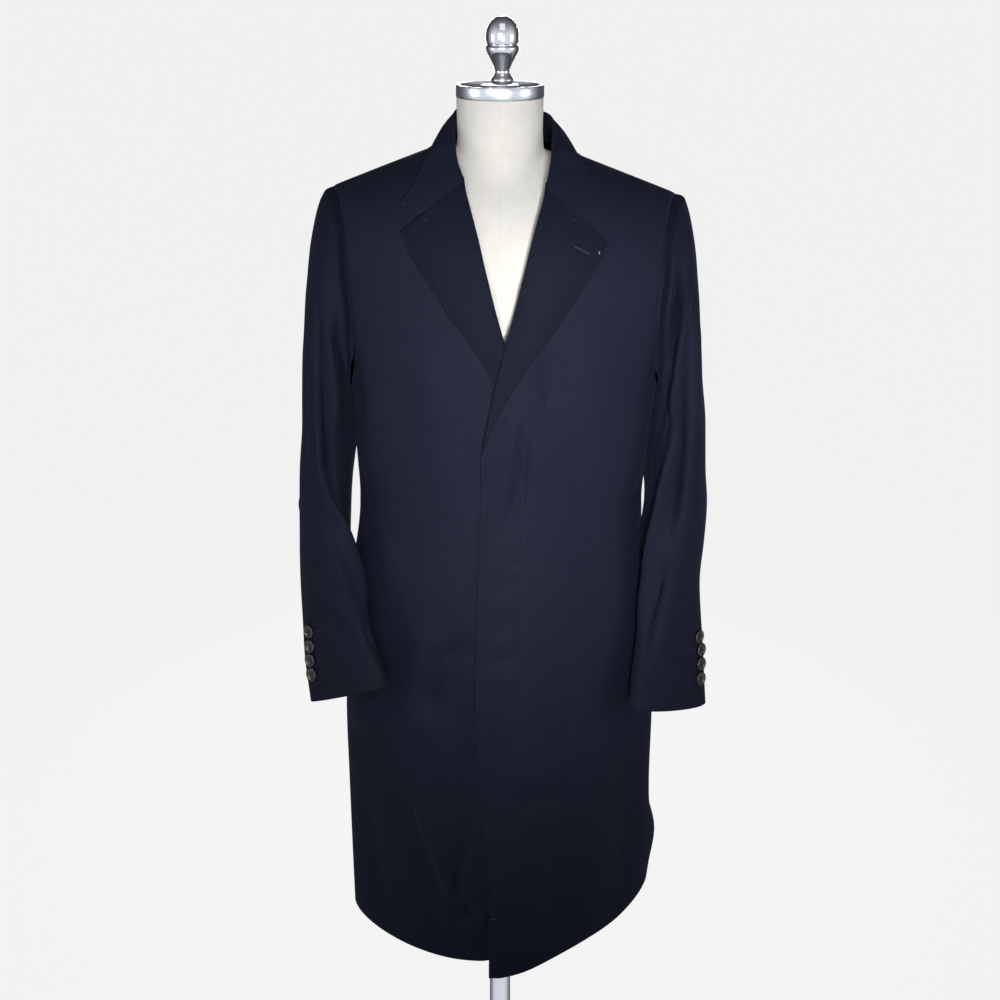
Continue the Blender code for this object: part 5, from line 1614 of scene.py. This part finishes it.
# length, gap and radius of the stitches of each kind of thread work
threadWork = {
    "buttonhole": (0.0011, 0.00005, 0.00028),
    "bar": (0.0070, 0.0, 0.00045),
    "notch": (0.0014, 0.0006, 0.00028),
    "cuff": (0.0016, 0.00005, 0.00032),
    "basting": (0.0040, 0.0, 0.00030),
}
# each line's points as (across, height)
lapelHole = ((0.0932, 1.4056), (0.1102, 1.3966))
keyhole = (  # which end of the buttonhole, and how far past it and beside it the thread goes
    (0, 0.0, 0.0005), (1, 0.0, 0.0008), (1, 0.0016, 0.0016), (1, 0.0034, 0.0), (1, 0.0016, -0.0016),
    (1, 0.0, -0.0008), (0, 0.0, -0.0005), (0, -0.0006, 0.0), (0, 0.0, 0.0005),
)
flyBar = ((-0.0132, 0.4827), (-0.0050, 0.4831))
bastingSpots = ((0.1236, 1.3985), (0.1246, 1.3962), (0.1248, 1.3938))
cuffMarks = {
    1: ((0.266, 0.862, 0.253, 0.869), (0.267, 0.841, 0.254, 0.848), (0.268, 0.822, 0.255, 0.829),
        (0.268, 0.802, 0.256, 0.809)),
    -1: ((-0.250, 0.882, -0.237, 0.888), (-0.249, 0.865, -0.236, 0.871), (-0.247, 0.847, -0.235, 0.854),
         (-0.246, 0.829, -0.234, 0.836)),
}


def dash(points, faces, start, end, up, radius):
    # one stitch: a small rounded rod, its ends pulled into the cloth
    along = unit(end - start)
    sideways = unit(np.cross(along, up))
    sides = stitching["sides"]
    base = len(points)
    for share, thick in stitching["rings"]:
        middle = start + (end - start) * share + up * radius * (thick * 1.6 - 1.0)
        for k in range(sides):
            angle = 2 * math.pi * k / sides
            around = sideways * math.cos(angle) + up * math.sin(angle)
            points.append(middle + around * radius * thick)
    count = len(stitching["rings"])
    for ring in range(count - 1):
        for k in range(sides):
            n = (k + 1) % sides
            low, high = base + ring * sides, base + (ring + 1) * sides
            faces.append((low + k, low + n, high + n, high + k))
    faces.append(tuple(base + k for k in range(sides))[::-1])
    faces.append(tuple(base + (count - 1) * sides + k for k in range(sides)))


def stitchAlong(points, faces, line, ups, length=None, gap=None, radius=None):
    length = stitching["length"] if length is None else length
    gap = stitching["gap"] if gap is None else gap
    radius = stitching["radius"] if radius is None else radius
    line = np.array(line) + np.array(ups) * stitching["proud"]
    run = lengthsAlong(line, 0)
    at = 0.0
    while at + length < run[-1]:
        ends = [np.array([np.interp(t, run, line[:, k]) for k in range(3)]) for t in (at, at + length)]
        up = unit(np.array([np.interp(at + length / 2, run, np.array(ups)[:, k]) for k in range(3)]))
        dash(points, faces, ends[0], ends[1], up, radius)
        at += length + gap


def dropOn(grid, normals, spots):
    # places seen from the front at (x, z), brought onto a grid's surface
    flatGrid = grid.reshape(-1, 3)
    flatNormals = normals.reshape(-1, 3)
    found, ups = [], []
    for x, z in spots:
        away = np.hypot(flatGrid[:, 0] - x, flatGrid[:, 2] - z)
        near = np.argsort(away)[:stitching["nearest"]]
        weight = 1 / (away[near] ** 2 + 1e-8)
        weight /= weight.sum()
        up = unit(flatNormals[near].T @ weight)
        at = flatGrid[near].T @ weight
        lean = -(up[0] * (x - at[0]) + up[2] * (z - at[2])) / up[1]
        found.append(np.array([x, at[1] + lean, z]))
        ups.append(up)
    return np.array(found), np.array(ups)


def threadPiece(name, points, faces, finish):
    mesh = bpy.data.meshes.new(name)
    mesh.from_pydata(np.array(points).tolist(), [], faces)
    cleanMesh(mesh)
    finishPiece(name, mesh, finish, [], 60)


def edgeStitches():
    # down the upper front's edge, and along the fly
    points, faces = [], []
    grid, normals = fronts[1]
    column = panelSettings["edgeColumns"].index(panelSettings["edgeStitch"])
    below = grid[:, column, 2] < overlap["breakHeight"] + overlap["edgeEnds"]
    stitchAlong(points, faces, grid[below][:, column], normals[below][:, column])
    line, ups = dropOn(grid, normals, smoothLine(flyStitch, 4))
    stitchAlong(points, faces, line, ups)
    threadPiece("edge_stitching", points, faces, thread)


def pickStitches():
    # small prick stitches close to the edges of the collar and lapels
    points, faces = [], []
    pick = (stitching["pickLength"], stitching["pickGap"], stitching["pickRadius"])
    column = panelSettings["edgeColumns"].index(lapels["edgeStitch"])
    for side in (1, -1):
        grid, normals = lapelGrids[side]
        rows = np.s_[stitching["pickRow"]:-2, -1 - column]
        stitchAlong(points, faces, grid[rows], normals[rows], *pick)
        start = lapels["notch"][side][0] - stitching["pickNotch"]
        across = np.nonzero(np.abs(grid[-1, :, 0]) > start)[0]
        across = across[across < grid.shape[1] - column]
        stitchAlong(points, faces, grid[-2, across], normals[-2, across], *pick)
    stitchAlong(points, faces, collarGrid[2:-2, -1 - column], collarNormals[2:-2, -1 - column], *pick)
    for row in (2, -3):
        across = np.nonzero(np.abs(collarGrid[row, :, 0]) > lapels["notch"][1][0])[0]
        across = across[across < collarGrid.shape[1] - column]
        stitchAlong(points, faces, collarGrid[row, across], collarNormals[row, across], *pick)
    threadPiece("pick_stitching", points, faces, thread)


def workedHoles():
    # the lapel's buttonhole, the fly's bar, the marks at the notch and the cuffs' false holes
    points, faces = [], []
    grid, normals = lapelGrids[1]
    ends = np.array(lapelHole)
    along = unit(ends[1] - ends[0])
    beside = np.array([-along[1], along[0]])
    loop = [ends[end] + along * past + beside * aside for end, past, aside in keyhole]
    line, ups = dropOn(grid, normals, smoothLine(loop, 2))
    stitchAlong(points, faces, line, ups, *threadWork["buttonhole"])
    line, ups = dropOn(*fronts[1], flyBar)
    stitchAlong(points, faces, line, ups, *threadWork["bar"])
    for side in (1, -1):
        grid, normals = lapelGrids[side]
        spots = [(side * 0.0955, 1.4360), (side * 0.0885, 1.4385)]
        line, ups = dropOn(grid[-12:], normals[-12:], spots)
        stitchAlong(points, faces, line, ups, *threadWork["notch"])
    threadPiece("buttonhole_thread", points, faces, holeThread)
    points, faces = [], []
    for side, marks in cuffMarks.items():
        grid, normals = sleeveGrids[side]
        facing = normals[..., 1] < 0.1
        grid, normals = grid[facing], normals[facing]
        for x0, z0, x1, z1 in marks:
            line, ups = dropOn(grid, normals, np.linspace((x0, z0), (x1, z1), 5))
            stitchAlong(points, faces, line, ups, *threadWork["cuff"])
    threadPiece("cuff_hole_thread", points, faces, thread)


def bastingStitch():
    # a white tailor's stitch left at the lapel's edge
    points, faces = [], []
    line, ups = dropOn(*lapelGrids[1], bastingSpots)
    stitchAlong(points, faces, line + ups * 0.0004, ups, *threadWork["basting"])
    threadPiece("basting_thread", points, faces, whiteThread)


edgeStitches()
pickStitches()
workedHoles()
bastingStitch()
print("stitching made")


buttons = {
    "steps": 40,
    "holeRadius": 0.0010,
    "holeSpacing": 0.0032,
    "pin": (-0.002, 0.006),  # from and to which height a hole is cut
    "pinSteps": 16,
    "threadHeight": 0.0020,
    "threadRadius": 0.00045,
    "shank": 0.0026,
    "turnedToFront": 0.35,
    "spin": 0.7,  # radians from one button to the next
    "places": {  # across and height, from the cuff upwards
        1: ((0.2730, 0.7985), (0.2735, 0.8175), (0.2735, 0.8365), (0.2700, 0.8565)),
        -1: ((-0.2512, 0.8235), (-0.2533, 0.8415), (-0.2535, 0.8600), (-0.2550, 0.8790)),
    },
    "profile": (  # radius and height from the back face
        (0.0074, 0.0000),
        (0.0088, 0.0005),
        (0.0094, 0.0012),
        (0.0095, 0.0019),
        (0.0092, 0.0026),
        (0.0086, 0.0031),
        (0.0078, 0.0032),
        (0.0068, 0.0030),
        (0.0060, 0.0025),
        (0.0050, 0.0022),
        (0.0026, 0.0021),
        (0.0006, 0.0021),
    ),
}


def lathe(profile, steps, centre=(0.0, 0.0), base=0.0):
    # closed solid of revolution from (radius, height) pairs, bottom to top
    work = bmesh.new()
    rings = []
    for radius, height in profile:
        ring = []
        for k in range(steps):
            turn = 2 * math.pi * k / steps
            across, deep = centre[0] + radius * math.cos(turn), centre[1] + radius * math.sin(turn)
            ring.append(work.verts.new((across, deep, base + height)))
        rings.append(ring)
    work.faces.new(rings[0][::-1])
    work.faces.new(rings[-1])
    for low, high in zip(rings, rings[1:]):
        for k in range(steps):
            n = (k + 1) % steps
            work.faces.new((low[k], low[n], high[n], high[k]))
    bmesh.ops.recalc_face_normals(work, faces=work.faces)
    return work


def meshOf(work, name):
    mesh = bpy.data.meshes.new(name)
    work.to_mesh(mesh)
    work.free()
    return mesh


def holeySolid(name):
    # the button with its four holes cut through
    blank = bpy.data.objects.new("buttonBlank", meshOf(lathe(buttons["profile"], buttons["steps"]), name))
    bpy.context.scene.collection.objects.link(blank)
    half = buttons["holeSpacing"] / 2
    cutters = []
    for x, y in ((half, half), (-half, half), (-half, -half), (half, -half)):
        pin = lathe([(buttons["holeRadius"], end) for end in buttons["pin"]], buttons["pinSteps"], (x, y))
        cutter = bpy.data.objects.new("buttonPin", meshOf(pin, "buttonPin"))
        bpy.context.scene.collection.objects.link(cutter)
        cut = blank.modifiers.new("hole", "BOOLEAN")
        cut.object = cutter
        cut.solver = "EXACT"
        cutters.append(cutter)
    graph = bpy.context.evaluated_depsgraph_get()
    drilled = bpy.data.meshes.new_from_object(blank.evaluated_get(graph))
    for each in [blank] + cutters:
        bpy.data.objects.remove(each, do_unlink=True)
    return drilled


def seatOn(side, spot):
    # middle of a button's back on its shank, and the button's axes, turned a little to the front
    grid, normals = sleeveGrids[side]
    facing = normals[..., 1] < 0
    point, up = (found[0] for found in dropOn(grid[facing], normals[facing], [spot]))
    point = point + up * buttons["shank"]
    up = unit(up + np.array([0.0, -buttons["turnedToFront"], 0.0]))
    flat = unit(np.cross((0.0, 0.0, -1.0), up))
    return point, Matrix([flat, np.cross(up, flat), up]).transposed()


def makeButtons():
    drilled = holeySolid("cuff_button_horn")
    points, faces = [], []
    half = buttons["holeSpacing"] / 2
    for side, sideName in sideNames.items():
        for k in range(1, 5):
            node = f"cuff_button_{sideName}_{k}"
            seat, axes = seatOn(side, buttons["places"][side][k - 1])
            spin = Matrix.Rotation(buttons["spin"] * k + side, 3, "Z")
            mesh = drilled.copy()
            mesh.transform(Matrix.Translation(Vector(seat)) @ (axes @ spin).to_4x4())
            finishPiece(f"{node}_horn", mesh, horn, [node], 40)
            turned = np.array(axes @ spin)
            up = turned[:, 2]
            for y in (half, -half):
                ends = [seat + turned @ np.array([x, y, buttons["threadHeight"]]) for x in (-half, half)]
                dash(points, faces, ends[0], ends[1], up, buttons["threadRadius"])
    threadPiece("button_thread", points, faces, thread)


makeButtons()
print("buttons made")


# the dress form's torso and neck, with its cap and knob
formRings = {
    "columns": ("height", "halfWidth", "front", "back", "round"),
    "rows": (
        (0.800, 0.165, 0.105, 0.110, 2.2),
        (0.860, 0.178, 0.115, 0.122, 2.2),
        (0.940, 0.176, 0.115, 0.116, 2.2),
        (1.030, 0.164, 0.112, 0.098, 2.2),
        (1.120, 0.170, 0.116, 0.096, 2.2),
        (1.200, 0.183, 0.124, 0.106, 2.25),
        (1.280, 0.197, 0.1190, 0.110, 2.3),
        (1.360, 0.206, 0.1120, 0.108, 2.35),
    ),
}
neckRings = {
    "columns": ("height", "radius", "deep"),
    "rows": (
        (1.400, 0.080, -0.004),
        (1.450, 0.071, -0.003),
        (1.490, 0.0585, -0.001),
        (1.520, 0.0560, 0.000),
        (1.577, 0.0560, 0.000),
    ),
}
form = {
    "belowShoulder": 0.0028,
    "neckFall": 0.012,
    "neckReach": 0.08,
    "blend": 0.0045,  # softness of the join of neck and shoulder
    "frontBlend": 0.0110,
    "slope": 0.75,  # how far the chest slopes straight up to the neck
    "slopeReach": 0.075,
    "columns": 144,
    "samples": 720,
    "deepFrom": 1.36,  # the neck's own place in depth counts from here up
    "deepReach": 0.08,
    "rowSteps": ((0.800, 1.340, 50), (1.340, 1.535, 66), (1.535, 1.577, 12)),
    "seamDeep": 0.0003,
    "seamWide": 0.0009,
    "seamTurns": (0.0, 0.006, 0.014, 0.026),
}


def torsoSection(height, angles):
    # how far from the axis the torso's face lies in each direction, 0 above its shoulders
    turn = np.linspace(0, 2 * np.pi, form["samples"], endpoint=False)
    low = min(height, coat["chestTop"])
    half, front, back, kind = (float(read(formRings, name, low)) for name in formRings["columns"][1:])
    across = half * signedPower(np.sin(turn), 2 / kind)
    deep = -np.where(np.cos(turn) > 0, front, back) * signedPower(np.cos(turn), 2 / kind)
    if height > coat["chestTop"]:
        fall = form["neckFall"] * np.exp(-((across / form["neckReach"]) ** 2))
        rise = shoulderLine(across) - form["belowShoulder"] - fall - coat["chestTop"]
        lean = coat["lean"] * np.tanh(across / coat["leanHalf"])
        share = np.clip((height + lean - coat["chestTop"]) / rise, 0, 1)
        slope = form["slope"] * np.exp(-((across / form["slopeReach"]) ** 2))
        deep = deep * ((1 - slope) * np.sqrt(1 - share**2) + slope * (1 - share**1.8))
        kept = share < 1
        if not kept.any():
            return np.zeros_like(angles)
        across, deep = across[kept], deep[kept]
    across = across + float(read(bodyRings, "shift", low))
    direction = np.arctan2(across, -deep)
    order = np.argsort(direction)
    away = np.hypot(across, deep)
    return np.interp(angles, direction[order], away[order], period=2 * np.pi)


def makeForm():
    turns = np.linspace(-np.pi, np.pi, form["columns"], endpoint=False)
    seams = np.array(form["seamTurns"])
    extra = np.concatenate([seams, -seams, np.pi - seams, seams - np.pi])
    turns = np.unique(np.round(np.concatenate([turns, extra]), 6))
    turns = turns[turns < np.pi - 1e-6]
    heights = [np.linspace(low, high, count + 1)[:-1] for low, high, count in form["rowSteps"]]
    heights = np.append(np.concatenate(heights), form["rowSteps"][-1][1])
    soft = form["blend"] + form["frontBlend"] * np.maximum(0.0, np.cos(turns)) ** 2
    rings = []
    for height in heights:
        torso = torsoSection(height, turns)
        neck = np.full(len(turns), float(read(neckRings, "radius", height)))
        both = np.maximum(torso, neck) + soft * np.log1p(np.exp(-np.abs(torso - neck) / soft))
        both = both - soft * math.log(2) * np.exp(-np.abs(torso - neck) / soft) * 0.5
        seam = np.minimum(np.abs(np.sin(turns)) * both, 1.0)
        both = both - form["seamDeep"] * hump(seam, 0.0, form["seamWide"])
        deep = float(read(neckRings, "deep", height)) * ease((height - form["deepFrom"]) / form["deepReach"])
        level = np.full(len(turns), height)
        rings.append(np.stack([both * np.sin(turns), deep - both * np.cos(turns), level], axis=-1))
    count = len(turns)
    points = np.concatenate(rings)
    faces = [tuple(range(count))[::-1], tuple(range(len(points) - count, len(points)))]
    for ring in range(len(rings) - 1):
        for k in range(count):
            n = (k + 1) % count
            low, high = ring * count, (ring + 1) * count
            faces.append((low + k, low + n, high + n, high + k))
    mesh = bpy.data.meshes.new("form_canvas")
    mesh.from_pydata(points.tolist(), [], faces)
    cleanMesh(mesh)
    finishPiece("form_canvas", mesh, canvas, ["form_torso"], 50)


cap = {
    "base": 1.577,
    "steps": 96,
    "profile": (  # radius and height: the band, its rim, the dished top and the boss
        (0.0545, 0.0003),
        (0.0562, 0.0005),
        (0.0567, 0.0012),
        (0.0567, 0.0146),
        (0.0563, 0.0156),
        (0.0553, 0.0160),
        (0.0522, 0.0160),
        (0.0514, 0.0156),
        (0.0510, 0.0146),
        (0.0506, 0.0131),
        (0.0494, 0.0126),
        (0.0400, 0.0124),
        (0.0290, 0.0124),
        (0.0262, 0.0127),
        (0.0252, 0.0140),
        (0.0244, 0.0152),
        (0.0230, 0.0156),
        (0.0160, 0.0156),
        (0.0040, 0.0156),
    ),
}
knob = {
    "across": 0.003,
    "base": 1.593,
    "steps": 72,
    "smooth": 4,
    "profile": (
        (0.0120, 0.0003),
        (0.0143, 0.0040),
        (0.0143, 0.0070),
        (0.0110, 0.0115),
        (0.0092, 0.0150),
        (0.0095, 0.0185),
        (0.0121, 0.0255),
        (0.0150, 0.0310),
        (0.0198, 0.0400),
        (0.0213, 0.0440),
        (0.0213, 0.0470),
        (0.0190, 0.0495),
        (0.0205, 0.0520),
        (0.0214, 0.0585),
        (0.0203, 0.0680),
        (0.0160, 0.0770),
        (0.0095, 0.0830),
        (0.0035, 0.0850),
    ),
}


def curveThrough(profile, parts):
    # more points on a smooth curve through a profile's own
    points = np.array(profile)
    index = np.arange(len(points))
    table = {"columns": ("index", "radius", "height"), "rows": np.column_stack([index, points])}
    at = np.linspace(0, len(points) - 1, (len(points) - 1) * parts + 1)
    return np.column_stack([read(table, "radius", at), read(table, "height", at)])


def makeMetalParts():
    mesh = meshOf(lathe(cap["profile"], cap["steps"], base=cap["base"]), "neck_cap_metal")
    finishPiece("neck_cap_metal", mesh, aluminium, ["form_neck_cap"], 38)
    outline = curveThrough(knob["profile"], knob["smooth"])
    mesh = meshOf(lathe(outline, knob["steps"], (knob["across"], 0.0), knob["base"]), "knob_metal")
    finishPiece("knob_metal", mesh, polished, ["form_finial"], 50)


makeForm()
makeMetalParts()
print("form, cap and knob made")

finishes = {
    "form_torso": (canvas, "canvas"),
    "form_neck_cap": (aluminium, "turned_aluminium"),
    "form_finial": (polished, "polished_metal"),
    "stand_pole": (steel, "satin_steel"),
    "stand_base": (paint, "painted_base"),
}
for nodeName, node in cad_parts.items():
    if nodeName in finishes:
        finish, slotName = finishes[nodeName]
    elif nodeName.startswith("cuff_button"):
        finish, slotName = horn, "horn"
    else:
        finish, slotName = wool, "overcoating"
    node.data.materials.clear()
    node.data.materials.append(finish)
print("frame's own nodes finished")
